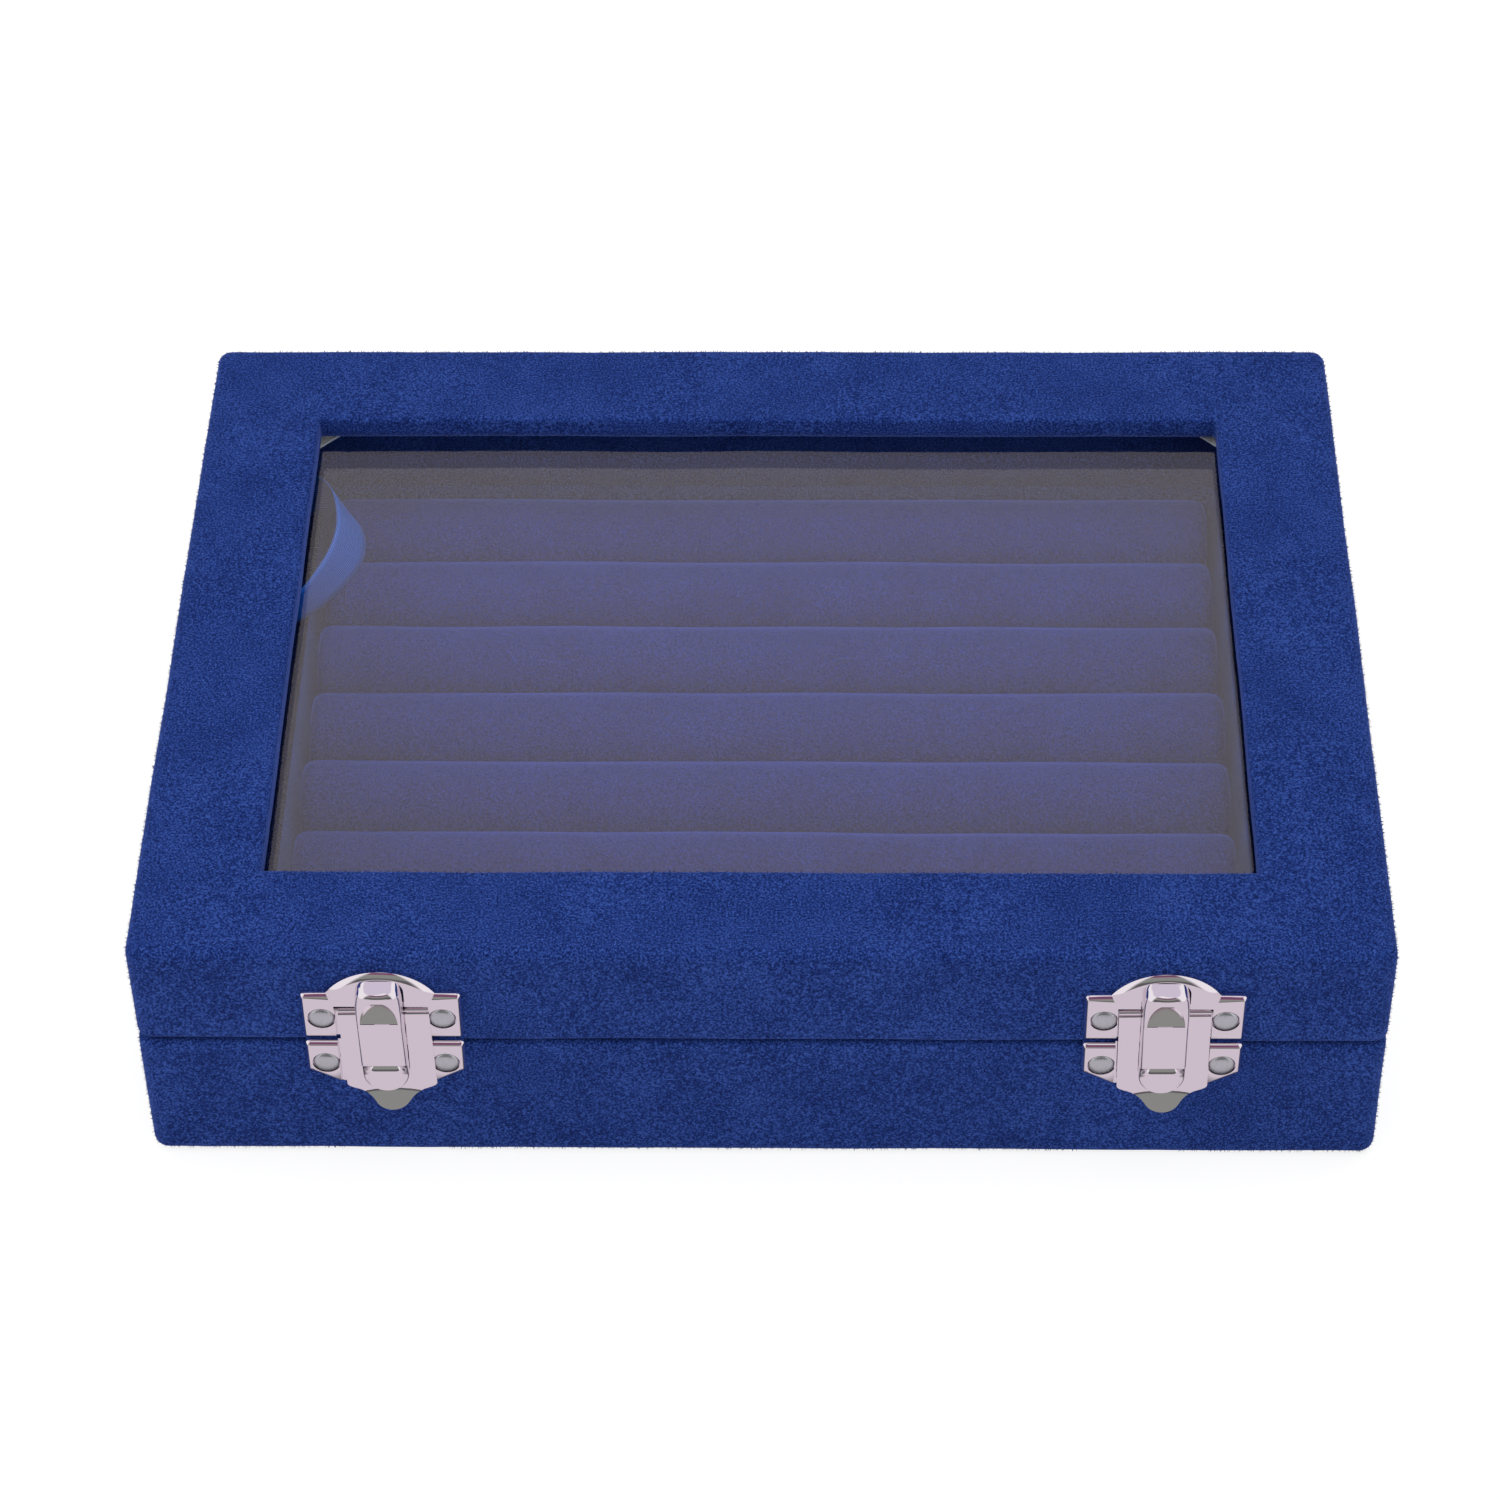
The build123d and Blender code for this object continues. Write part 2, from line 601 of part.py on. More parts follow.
def leaf(x, side, name):
    """A hinge leaf on the back face. Side -1 is the base leaf, side 1 the lid leaf."""
    plane = Plane(origin=(x, half_d, 0), x_dir=(-1, 0, 0), z_dir=(0, 1, 0))
    across = Plane(origin=(x, half_d, 0), x_dir=(0, 1, 0), z_dir=(1, 0, 0))
    outer_len = (hinge_len - centre_len) / 2 - knuckle_gap
    outer_at = hinge_len / 2 - outer_len / 2
    own = [(-outer_at, outer_len), (outer_at, outer_len)] if side < 0 else [(0, centre_len)]
    with BuildPart() as plate:
        low = barrel_r + barrel_clear
        with BuildSketch(plane):
            with Locations((0, axis_z + side * (low + leaf_h) / 2)):
                Rectangle(hinge_len, leaf_h - low)
            for at, length in own:
                with Locations((at, axis_z + side * low / 2)):
                    Rectangle(length, low)
        extrude(amount=leaf_t)
        for at, length in own:
            ring = Plane(origin=(x + at - length / 2, half_d, 0), x_dir=(0, 1, 0), z_dir=(1, 0, 0))
            extrude(discs(ring, [(axis_d, axis_z)], barrel_r), amount=length)
        bore = hinge_pin_r if side < 0 else hinge_pin_r + running
        extrude(discs(across, [(axis_d, axis_z)], bore), amount=hinge_len, both=True, mode=Mode.SUBTRACT)
        holes = [(-tack_x, axis_z + side * tack_drop), (tack_x, axis_z + side * tack_drop)]
        extrude(discs(plane, holes, tack_r), amount=leaf_t, mode=Mode.SUBTRACT)
    finish(plate, name)


for name, x in hinge_x.items():
    leaf(x, -1, f"hinge_base_leaf_{name}")
    leaf(x, 1, f"hinge_lid_leaf_{name}")
    with BuildPart() as hinge_pin:
        across = Plane(origin=(x, half_d, 0), x_dir=(0, 1, 0), z_dir=(1, 0, 0))
        extrude(discs(across, [(axis_d, axis_z)], hinge_pin_r), amount=hinge_len / 2, both=True)
    finish(hinge_pin, f"hinge_pin_{name}")

tacks(back, base_tacks, leaf_t, "hinge_base_tacks")
tacks(back, lid_tacks, leaf_t, "hinge_lid_tacks")

# Ribbon stay, and the tacks that hold its ends to the left inner walls
stay_wall = -room_w / 2 + stay_t / 2
with BuildPart() as stay_ribbon:
    with BuildSketch(Plane.XY.offset(stay_upper[0])):
        with BuildLine():
            Line((stay_wall, stay_lid_tab[0]), (stay_wall, stay_lid_tab[1]))
            ThreePointArc((stay_wall, stay_lid_tab[1]), stay_rise, stay_bulge)
            ThreePointArc(stay_bulge, stay_fall, stay_return)
        trace(line_width=stay_t)
    extrude(amount=stay_upper[1] - stay_upper[0])
    with BuildSketch(Plane.XY.offset(stay_lower[0])):
        with BuildLine():
            ThreePointArc(stay_return, stay_close, (stay_wall, stay_base_tab[0]))
        trace(line_width=stay_t)
    extrude(amount=stay_upper[1] - stay_lower[0])
    with BuildSketch(Plane.XY.offset(stay_lower[0])):
        with BuildLine():
            Line((stay_wall, stay_base_tab[0]), (stay_wall, stay_base_tab[1]))
        trace(line_width=stay_t)
    extrude(amount=stay_lower[1] - stay_lower[0])
    extrude(discs(left_room.offset(-stay_t), stay_base_tack, tack_r), amount=stay_t, mode=Mode.SUBTRACT)
    extrude(discs(left_room.offset(-stay_t), stay_lid_tack, tack_r), amount=stay_t, mode=Mode.SUBTRACT)
finish(stay_ribbon, "stay_ribbon")

inward = Plane(origin=(-room_w / 2, 0, 0), x_dir=(0, 1, 0), z_dir=(1, 0, 0))
for name, points in (("base", stay_base_tack), ("lid", stay_lid_tack)):
    spot = [(-points[0][0], points[0][1])]
    tacks(inward, spot, stay_t, f"stay_tack_{name}")
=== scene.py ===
import bpy
import bmesh
import json
import math
from mathutils import Matrix, Vector, geometry, noise


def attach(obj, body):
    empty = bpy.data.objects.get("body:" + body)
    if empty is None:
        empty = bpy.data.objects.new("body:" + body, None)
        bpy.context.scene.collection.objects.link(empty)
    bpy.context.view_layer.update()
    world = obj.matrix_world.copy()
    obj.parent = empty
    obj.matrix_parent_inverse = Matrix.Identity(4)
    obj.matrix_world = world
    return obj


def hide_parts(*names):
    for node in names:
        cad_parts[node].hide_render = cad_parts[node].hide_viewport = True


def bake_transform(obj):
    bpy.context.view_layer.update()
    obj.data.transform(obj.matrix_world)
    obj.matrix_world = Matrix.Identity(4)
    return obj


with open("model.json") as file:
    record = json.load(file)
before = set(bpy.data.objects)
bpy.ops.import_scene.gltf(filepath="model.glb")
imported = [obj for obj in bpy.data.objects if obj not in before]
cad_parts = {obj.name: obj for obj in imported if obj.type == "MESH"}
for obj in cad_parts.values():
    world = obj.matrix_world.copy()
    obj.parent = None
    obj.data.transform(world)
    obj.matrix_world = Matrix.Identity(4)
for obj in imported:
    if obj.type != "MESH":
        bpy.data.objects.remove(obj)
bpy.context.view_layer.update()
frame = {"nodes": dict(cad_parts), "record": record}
mm = 0.001
nodes = frame["nodes"]
print("stage: frame loaded,", len(nodes), "nodes")


def addObject(name, data):
    item = bpy.data.objects.new(name, data)
    bpy.context.scene.collection.objects.link(item)
    return item


# Camera, at the photograph's angle
photo = {
    "sensor": 36.0, "lens": 104.89,      # mm, a field of 19.5 degrees
    "nearest": 0.01,
    "place": (0.01071, -0.54159, 0.54825),
    "turn": (0.79745, 0.01092, 0.01441),
}


def makeCamera():
    data = bpy.data.cameras.new("photoCamera")
    data.sensor_width = photo["sensor"]
    data.lens = photo["lens"]
    data.clip_start = photo["nearest"]
    camera = addObject("photoCamera", data)
    camera.location = photo["place"]
    camera.rotation_euler = photo["turn"]
    bpy.context.scene.camera = camera


makeCamera()
print("stage: camera")


# Colours and shader nodes
def linear(hexCode):
    channels = [int(hexCode[i:i + 2], 16) / 255 for i in (1, 3, 5)]
    return [c / 12.92 if c <= 0.04045 else ((c + 0.055) / 1.055) ** 2.4 for c in channels] + [1]


def addNode(tree, kind, settings=None, **inputs):
    # an input is a value, another node's socket, or a node for its first output;
    # its name is the socket's, or s and its number
    node = tree.nodes.new(kind)
    for key, value in (settings or {}).items():
        setattr(node, key, value)
    for key, value in inputs.items():
        socket = node.inputs[int(key[1:]) if key[1:].isdigit() else key.replace("_", " ")]
        if isinstance(value, bpy.types.Node):
            value = value.outputs[0]
        if isinstance(value, bpy.types.NodeSocket):
            tree.links.new(value, socket)
        else:
            socket.default_value = value
    return node


def rampOf(tree, value, stops):
    ramp = addNode(tree, "ShaderNodeValToRGB", s0=value)
    elements = ramp.color_ramp.elements
    for index, (at, colour) in enumerate(stops):
        stop = elements[index] if index < 2 else elements.new(at)
        stop.position = at
        stop.color = colour
    return ramp


def noiseOf(tree, place, size, detail, rough=0.5):
    return addNode(tree, "ShaderNodeTexNoise", Vector=place, Scale=1 / (size * mm), Detail=detail, Roughness=rough)


def rangeOf(tree, value, start, end, low, high, kind="LINEAR"):
    return addNode(tree, "ShaderNodeMapRange", {"interpolation_type": kind}, s0=value, s1=start, s2=end,
                   s3=low, s4=high)


def mathOf(tree, operation, **inputs):
    return addNode(tree, "ShaderNodeMath", {"operation": operation}, **inputs)


def bumpOf(tree, strength, depth, height):
    return addNode(tree, "ShaderNodeBump", Strength=strength, Distance=depth * mm, Height=height)


def mixOf(tree, share, first, second):
    return addNode(tree, "ShaderNodeMixShader", s0=share, s1=first, s2=second)


def startMaterial(name):
    material = bpy.data.materials.new(name)
    material.use_nodes = True
    material.node_tree.nodes.clear()
    return material, material.node_tree


def endMaterial(material, shader):
    addNode(material.node_tree, "ShaderNodeOutputMaterial", s0=shader)
    return material


def grey(level):
    return (level, level, level, 1)


# Studio: a white sweep, soft lamps, and what the bright nickel sees of the room
studio = {
    "ambient": 0.62,
    "floorInMetal": "#DED7DE",           # the sweep before the box, a little rose, as the nickel throws it back
    "floor": 3,                          # m, half its side
    "footShade": (-0.078, -0.094, 0.10, 1.0),          # y in m at the box's foot and clear of it, levels there
    "paper": 0.80, "paperInShade": 0.28, "paperGlow": 0.80,
    # what the nickel sees before the box, from straight down, 0, to straight up, 1:
    # the floor, darkness, a grey green wall, a dark rose beam and the white ceiling
    "room": ((0.0, (1, 1, 1)), (1.0, (1, 1, 1)), (0.40, (0.9, 0.9, 0.9)), (0.44, (0.12, 0.12, 0.12)),
             (0.68, (0.12, 0.12, 0.12)), (0.72, (0.27, 0.30, 0.27)), (0.868, (0.30, 0.32, 0.29)),
             (0.884, (0.22, 0.09, 0.17)), (0.955, (0.20, 0.08, 0.16)), (0.972, (1, 1, 1))),
    # what it sees at the sides and behind
    "sides": ((0.0, (1, 1, 1)), (1.0, (0.72, 0.67, 0.78)), (0.93, (1, 1, 1)), (0.955, (0.72, 0.67, 0.78))),
    "front": (-0.70, -0.86),             # y of a level direction where the sides end and where the front begins
    "lit": (0, 0, 0.02),                 # the lamps look at this
    "lamps": {                           # place, size in m, watts
        "topSoft": ((0.15, 0.25, 1.25), 1.1, 6.5),
        "leftSoft": ((-0.95, -0.35, 0.75), 0.8, 4.0),
        "frontSoft": ((0.35, -1.15, 0.55), 0.9, 3.5),
    },
}


def chooseByRay(tree, lighting, mirrored, direct):
    # one shader lights, one is mirrored in metal and glass, and one is seen straight or through the glass
    path = addNode(tree, "ShaderNodeLightPath").outputs
    clear = mathOf(tree, "MAXIMUM", s0=path["Is Camera Ray"], s1=path["Is Transmission Ray"])
    return mixOf(tree, clear, mixOf(tree, path["Is Glossy Ray"], lighting, mirrored), direct)


def makeWorld():
    world = bpy.data.worlds.new("whiteStudio")
    bpy.context.scene.world = world
    world.use_nodes = True
    tree = world.node_tree
    tree.nodes.clear()
    way = addNode(tree, "ShaderNodeSeparateXYZ", s0=addNode(tree, "ShaderNodeTexCoord").outputs["Generated"]).outputs
    height = mathOf(tree, "MULTIPLY_ADD", s0=way[2], s1=0.5, s2=0.5)
    level = addNode(tree, "ShaderNodeCombineXYZ", s0=way[0], s1=way[1])
    length = addNode(tree, "ShaderNodeVectorMath", {"operation": "LENGTH"}, s0=level).outputs["Value"]
    toward = mathOf(tree, "DIVIDE", s0=way[1], s1=length)
    infront = rangeOf(tree, toward, *studio["front"], 0.0, 1.0, "SMOOTHSTEP")
    sides, room = (rampOf(tree, height, [(at, (*colour, 1)) for at, colour in studio[part]])
                   for part in ("sides", "room"))
    seen = addNode(tree, "ShaderNodeMix", {"data_type": "RGBA"}, s0=infront, s6=sides, s7=room)
    plain = addNode(tree, "ShaderNodeBackground", s0=grey(1), s1=studio["ambient"])
    white = addNode(tree, "ShaderNodeBackground", s0=grey(1), s1=1.0)
    metal = addNode(tree, "ShaderNodeBackground", s0=seen.outputs[2], s1=1.0)
    addNode(tree, "ShaderNodeOutputWorld", s0=chooseByRay(tree, plain, metal, white))


def makeFloor():
    bm = bmesh.new()
    bmesh.ops.create_grid(bm, x_segments=8, y_segments=8, size=studio["floor"])
    mesh = bpy.data.meshes.new("paleFloor")
    bm.to_mesh(mesh)
    bm.free()
    floor = addObject("paleFloor", mesh)
    material, tree = startMaterial("whitePaperSweep")   # matt, so bright that only a faint shadow shows
    paper = addNode(tree, "ShaderNodeBsdfDiffuse", s0=grey(studio["paper"]))
    faint = addNode(tree, "ShaderNodeBsdfDiffuse", s0=grey(studio["paperInShade"]))
    glow = addNode(tree, "ShaderNodeEmission", s0=grey(1), s1=studio["paperGlow"])
    lit = addNode(tree, "ShaderNodeAddShader", s0=faint, s1=glow)
    # the box's own shade on the floor at its foot draws the dark lines along the metal's edges
    place = addNode(tree, "ShaderNodeTexCoord").outputs["Object"]
    depth = addNode(tree, "ShaderNodeSeparateXYZ", s0=place).outputs[1]
    shade = rangeOf(tree, depth, *studio["footShade"], "SMOOTHSTEP")
    mirrored = addNode(tree, "ShaderNodeEmission", s0=linear(studio["floorInMetal"]), s1=shade)
    endMaterial(material, chooseByRay(tree, paper, mirrored, lit))
    mesh.materials.append(material)


def makeLamps():
    for name, (place, size, watts) in studio["lamps"].items():
        data = bpy.data.lights.new(name, "AREA")
        data.size = size
        data.energy = watts
        lamp = addObject(name, data)
        lamp.location = place
        lamp.rotation_euler = (Vector(studio["lit"]) - Vector(place)).to_track_quat("-Z", "Y").to_euler()
        lamp.visible_glossy = False
        lamp.visible_camera = False


makeWorld()
makeFloor()
makeLamps()
bpy.context.scene.view_settings.view_transform = "Standard"
print("stage: studio")


# Materials; sizes of grains and waves are in mm
velvetGrain = {"tips": 0.34, "strokes": 9, "share": 0.14, "combed": 0.8, "ramp": (0.38, 0.50, 0.62), "bump": 0.25}
metalGrain = {"waves": 4, "bump": 0.05, "hairs": 0.2, "drawn": 0.12, "worn": 1.8}
glassLook = {"index": 1.5, "smears": 30, "rough": 0.03, "tint": (0.97, 0.985, 0.975, 1),
             "gloss": (0.96, 0.865, 0.95, 1)}
ribbonWeave = {"yarns": 22, "dark": "#00348C", "light": "#0078F0", "sheen": "#3C90FF", "thinnest": 0.80}


def grainCoords(tree):
    return addNode(tree, "ShaderNodeTexCoord").outputs["Object"]


def velvetMaterial(name, dark, middle, light, sheenHex, sheen):
    # Flocked velvet: a matt pile that is deep from straight on and pale at a slant, with mottled tips
    material, tree = startMaterial(name)
    place = grainCoords(tree)
    grain = velvetGrain
    tips = noiseOf(tree, place, grain["tips"], 3, 0.6)
    combed = addNode(tree, "ShaderNodeMapping", Vector=place, Scale=(1, grain["combed"], 1))
    strokes = noiseOf(tree, combed, grain["strokes"], 5, 0.6)
    both = addNode(tree, "ShaderNodeMix", {"data_type": "FLOAT"}, s0=grain["share"], s2=tips, s3=strokes)
    low, half, high = grain["ramp"]
    colour = rampOf(tree, both, [(low, linear(dark)), (high, linear(light)), (half, linear(middle))])
    bump = bumpOf(tree, 0.55, grain["bump"], tips)
    pile = addNode(tree, "ShaderNodeBsdfPrincipled", Base_Color=colour, Roughness=0.95, Normal=bump,
                   Sheen_Weight=sheen, Sheen_Roughness=0.35, Sheen_Tint=linear(sheenHex), Specular_IOR_Level=0.1)
    return endMaterial(material, pile)


def metalMaterial(name, colour, rough, waves):
    # Plated pressed steel: bright, with faint rolling waves and hairline wear from handling
    material, tree = startMaterial(name)
    place = grainCoords(tree)
    grain = metalGrain
    wavy = noiseOf(tree, place, grain["waves"], 1)
    hair = addNode(tree, "ShaderNodeMapping", Vector=place, Scale=(1, 1, grain["drawn"]))
    lines = noiseOf(tree, hair, grain["hairs"], 2)
    worn = rangeOf(tree, lines, 0.35, 0.75, rough, rough * grain["worn"])
    bump = bumpOf(tree, waves, grain["bump"], wavy)
    plating = addNode(tree, "ShaderNodeBsdfPrincipled", Base_Color=linear(colour), Metallic=1.0,
                      Roughness=worn, Normal=bump)
    return endMaterial(material, plating)


def paperMaterial(name, dark, light, grain, rough):
    # Board and paper: matt, with the fibre flecks of recycled pulp
    material, tree = startMaterial(name)
    fibre = noiseOf(tree, grainCoords(tree), grain, 5, 0.7)
    colour = rampOf(tree, fibre, [(0.30, linear(dark)), (0.70, linear(light))])
    bump = bumpOf(tree, 0.25, 0.1, fibre)
    pulp = addNode(tree, "ShaderNodeBsdfPrincipled", Base_Color=colour, Roughness=rough, Normal=bump)
    return endMaterial(material, pulp)


def glassMaterial():
    # Float glass, 2 mm: clear, and each of its two faces throws back a veil of the bright room
    material, tree = startMaterial("floatGlass")
    back = addNode(tree, "ShaderNodeNewGeometry").outputs["Backfacing"]
    look = glassLook
    index = addNode(tree, "ShaderNodeMix", {"data_type": "FLOAT"}, s0=back, s2=look["index"], s3=1 / look["index"])
    veil = addNode(tree, "ShaderNodeFresnel", IOR=index)
    smears = noiseOf(tree, grainCoords(tree), look["smears"], 3)
    rough = rangeOf(tree, smears, 0.3, 0.8, 0.0, look["rough"])
    tint = addNode(tree, "ShaderNodeBsdfTransparent", s0=look["tint"])
    gloss = addNode(tree, "ShaderNodeBsdfAnisotropic", s0=look["gloss"], Roughness=rough)
    return endMaterial(material, mixOf(tree, veil, tint, gloss))


def ribbonMaterial():
    # Organza ribbon: royal blue yarns side by side along its length, so light passes between them
    material, tree = startMaterial("organzaRibbon")
    weave = ribbonWeave
    across = addNode(tree, "ShaderNodeSeparateXYZ", s0=addNode(tree, "ShaderNodeUVMap")).outputs[1]
    yarn = mathOf(tree, "SINE", s0=mathOf(tree, "MULTIPLY", s0=across, s1=2 * math.pi * weave["yarns"]))
    colour = rampOf(tree, rangeOf(tree, yarn, -1.0, 1.0, 0.0, 1.0),
                    [(0.1, linear(weave["dark"])), (0.9, linear(weave["light"]))])
    cover = rangeOf(tree, yarn, -1.0, 0.2, weave["thinnest"], 1.0)
    thread = addNode(tree, "ShaderNodeBsdfPrincipled", Base_Color=colour, Roughness=0.45, Sheen_Weight=0.15,
                     Sheen_Roughness=0.3, Sheen_Tint=linear(weave["sheen"]))
    gap = addNode(tree, "ShaderNodeBsdfTransparent", s0=grey(1))
    return endMaterial(material, mixOf(tree, cover, gap, thread))


# velvet: dark, middle and light tips, sheen and its strength; metal: colour, roughness, waves;
# board and paper: dark, light, grain, roughness
finishes = {
    "velvet": velvetMaterial("royalBlueVelvet", "#0B1A4C", "#1A3172", "#35509A", "#6E86E0", 0.55),
    "roll_velvet": velvetMaterial("rollBlueVelvet", "#0B1550", "#14236C", "#20358E", "#5E7CFF", 0.9),
    "card_board": paperMaterial("greyBoard", "#8E8A82", "#A7A39A", 0.5, 0.9),
    "bare_card": paperMaterial("whiteCard", "#D9D8DC", "#EFEEF2", 0.3, 0.8),
    "base_paper": paperMaterial("blackBasePaper", "#15161C", "#23252E", 0.25, 0.75),
    "glass": glassMaterial(),
    "ribbon": ribbonMaterial(),
    "bright_nickel": metalMaterial("brightNickel", "#E8DFE6", 0.05, 0.10),
    "rivet_steel": metalMaterial("rivetSteel", "#C4C6CA", 0.26, 0.25),
    "hinge_steel": metalMaterial("hingeSteel", "#DAD8DA", 0.14, 0.15),
    "spring_steel": metalMaterial("springSteel", "#C9C8C6", 0.18, 0.10),
}
nodeSlots = {row["node"]: row["material_slot"] for row in frame["record"]["subparts"]}
for nodeName, slotName in nodeSlots.items():
    for socket in nodes[nodeName].material_slots:
        socket.material = finishes[slotName]
print("stage: materials")


# Pieces are shaped in millimetres and made objects in metres
def makeObject(bm, name, smooth=None):
    mesh = bpy.data.meshes.new(name)
    bm.to_mesh(mesh)
    bm.free()
    if smooth is not None:
        mesh.shade_smooth()
        mesh.set_sharp_from_angle(angle=math.radians(smooth))
    return addObject(name, mesh)


def finishPiece(bm, name, slotName, body, replaced, smooth):
    bmesh.ops.scale(bm, vec=(mm, mm, mm), verts=bm.verts[:])
    piece = makeObject(bm, name, smooth)
    piece.data.materials.append(finishes[slotName])
    if body:
        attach(piece, body)
    if replaced:
        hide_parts(*replaced)
    return piece


def addModifier(piece, name, kind, **settings):
    modifier = piece.modifiers.new(name, kind)
    for key, value in settings.items():
        setattr(modifier, key, value)


def crispEdges(piece, width):
    addModifier(piece, "edgeWear", "BEVEL", width=width * mm, segments=2, limit_method="ANGLE",
                angle_limit=math.radians(30), harden_normals=True)


def evaluated(piece):
    # the mesh that the piece has with its modifiers
    bpy.context.view_layer.update()
    return bpy.data.meshes.new_from_object(piece.evaluated_get(bpy.context.evaluated_depsgraph_get()))


def found(result, kind):
    return [item for item in result["geom"] if isinstance(item, kind)]


def move(bm, *way):
    bmesh.ops.translate(bm, vec=way, verts=bm.verts[:])


def stretch(bm, *sizes):
    bmesh.ops.scale(bm, vec=sizes, verts=bm.verts[:])


def block(x0, x1, d0, d1, z0, z1):
    # d is depth towards the front, -y
    bm = bmesh.new()
    bmesh.ops.create_cube(bm, size=1)
    stretch(bm, x1 - x0, d1 - d0, z1 - z0)
    move(bm, (x0 + x1) / 2, -(d0 + d1) / 2, (z0 + z1) / 2)
    return bm


def mendNormals(bm):
    bmesh.ops.recalc_face_normals(bm, faces=bm.faces[:])


def roundOff(bm, geom, offset, segments, affect="EDGES"):
    bmesh.ops.bevel(bm, geom=geom, offset=offset, offset_type="OFFSET", segments=segments, profile=0.5,
                    affect=affect, material=-1)


def fillGaps(bm):
    bmesh.ops.holes_fill(bm, edges=[edge for edge in bm.edges if edge.is_boundary], sides=0)


def polar(radius, degrees):
    return radius * math.cos(math.radians(degrees)), radius * math.sin(math.radians(degrees))


def ripple(bm, height, size, seed):
    # uneven cloth: each point moves a little along its normal
    bm.normal_update()
    for point in bm.verts:
        lift = noise.noise(point.co / size + Vector((seed, seed, seed)))
        point.co += point.normal * height * lift


# Velvet skins of the base and the lid: one loop in plan, pushed along the section
velvetBox = {
    "half": (100.0, 75.0),
    "cornerRadius": 2.5,
    "edgeRadius": 2.0,
    "rimRadius": 1.0,
    "step": 2.0,                         # mm between points along a straight
    "cornerSteps": 6,
    "thick": 0.7,
    "ripple": (0.16, 22.0),              # height and size of the waves, mm
    "fineRipple": (0.05, 5.0),
    "rimTurn": ((1.0, 1.0), (0.87, 0.5), (0.5, 0.13), (0, 0)),   # the rim's inner edge, in and away from the seam
}
baseSkin = {"under": 0.25, "rim": 26.9, "room": (94.0, 69.0), "floor": 4.9}
lidSkin = {"rim": 27.7, "top": 48.0, "room": (94.0, 69.0), "roomTop": 42.0, "window": (79.7, 55.75),
           "windowMiddle": (-0.3, -0.9), "mouth": 0.9, "reveal": 44.05}


def sectionArc(halfX, halfY, corner, z, radius, start, end, count=5):
    # a quarter turn of the section; the angle is from straight out, 0, to straight up, 90
    rings = []
    for index in range(count):
        out, up = polar(radius, start + (end - start) * index / (count - 1))
        rings.append((halfX + out, halfY + out, max(corner + out, 0.3), z + up))
    return rings


def climb(ring, z0, z1, step):
    count = max(1, round(abs(z1 - z0) / step))
    return [(ring[0], ring[1], ring[2], z0 + (z1 - z0) * index / count) for index in range(1, count)]


def loftSkin(rings):
    # rings are half width, half depth, corner radius, height, and the middle where it isn't the origin
    shape = velvetBox
    halfX, halfY, corner, z = rings[0][:4]
    bm = bmesh.new()
    bmesh.ops.create_grid(bm, x_segments=1, y_segments=1, size=1)
    stretch(bm, halfX, halfY, 1)
    move(bm, 0, 0, z)
    roundOff(bm, bm.verts[:], corner, shape["cornerSteps"], "VERTICES")
    bmesh.ops.delete(bm, geom=bm.faces[:], context="FACES_ONLY")
    for axis, half in ((0, halfX), (1, halfY)):
        runs = [edge for edge in bm.edges if abs(edge.verts[0].co[axis] - edge.verts[1].co[axis]) > half]
        bmesh.ops.subdivide_edges(bm, edges=runs, cuts=round(2 * half / shape["step"]))
    edges = bm.edges[:]
    last = rings[0]
    for ring in rings[1:]:
        grown = bmesh.ops.extrude_edge_only(bm, edges=edges)
        edges = found(grown, bmesh.types.BMEdge)
        middle = Vector((*(last[4] if len(last) > 4 else (0, 0)), 0))
        newMiddle = Vector((*(ring[4] if len(ring) > 4 else (0, 0)), 0))
        coreX, coreY = last[0] - last[2], last[1] - last[2]
        for point in found(grown, bmesh.types.BMVert):
            flat = point.co - middle
            core = Vector((max(-coreX, min(coreX, flat.x)), max(-coreY, min(coreY, flat.y)), 0))
            out = Vector((flat.x, flat.y, 0)) - core
            core.x *= (ring[0] - ring[2]) / coreX
            core.y *= (ring[1] - ring[2]) / coreY
            point.co = newMiddle + core + out * (ring[2] / last[2])
            point.co.z = ring[3]
        last = ring
    bm.normal_update()
    return bm


def faceOutwards(bm, sample):
    # turns the skin so that the face nearest to the sample point looks away from the middle
    mendNormals(bm)
    nearest = min(bm.faces, key=lambda face: (face.calc_center_median() - sample).length)
    if nearest.normal.dot(sample - Vector((0, 0, sample.z))) < 0:
        bmesh.ops.reverse_faces(bm, faces=bm.faces[:])
    bm.normal_update()


def makeSkin(rings, sample, name, body, replaced):
    bm = loftSkin(rings)
    faceOutwards(bm, sample)
    ripple(bm, *velvetBox["ripple"], 3.1)
    ripple(bm, *velvetBox["fineRipple"], 8.7)
    skin = finishPiece(bm, name, "velvet", body, replaced, 80)
    addModifier(skin, "cloth", "SOLIDIFY", thickness=velvetBox["thick"] * mm, offset=-1)
    return skin


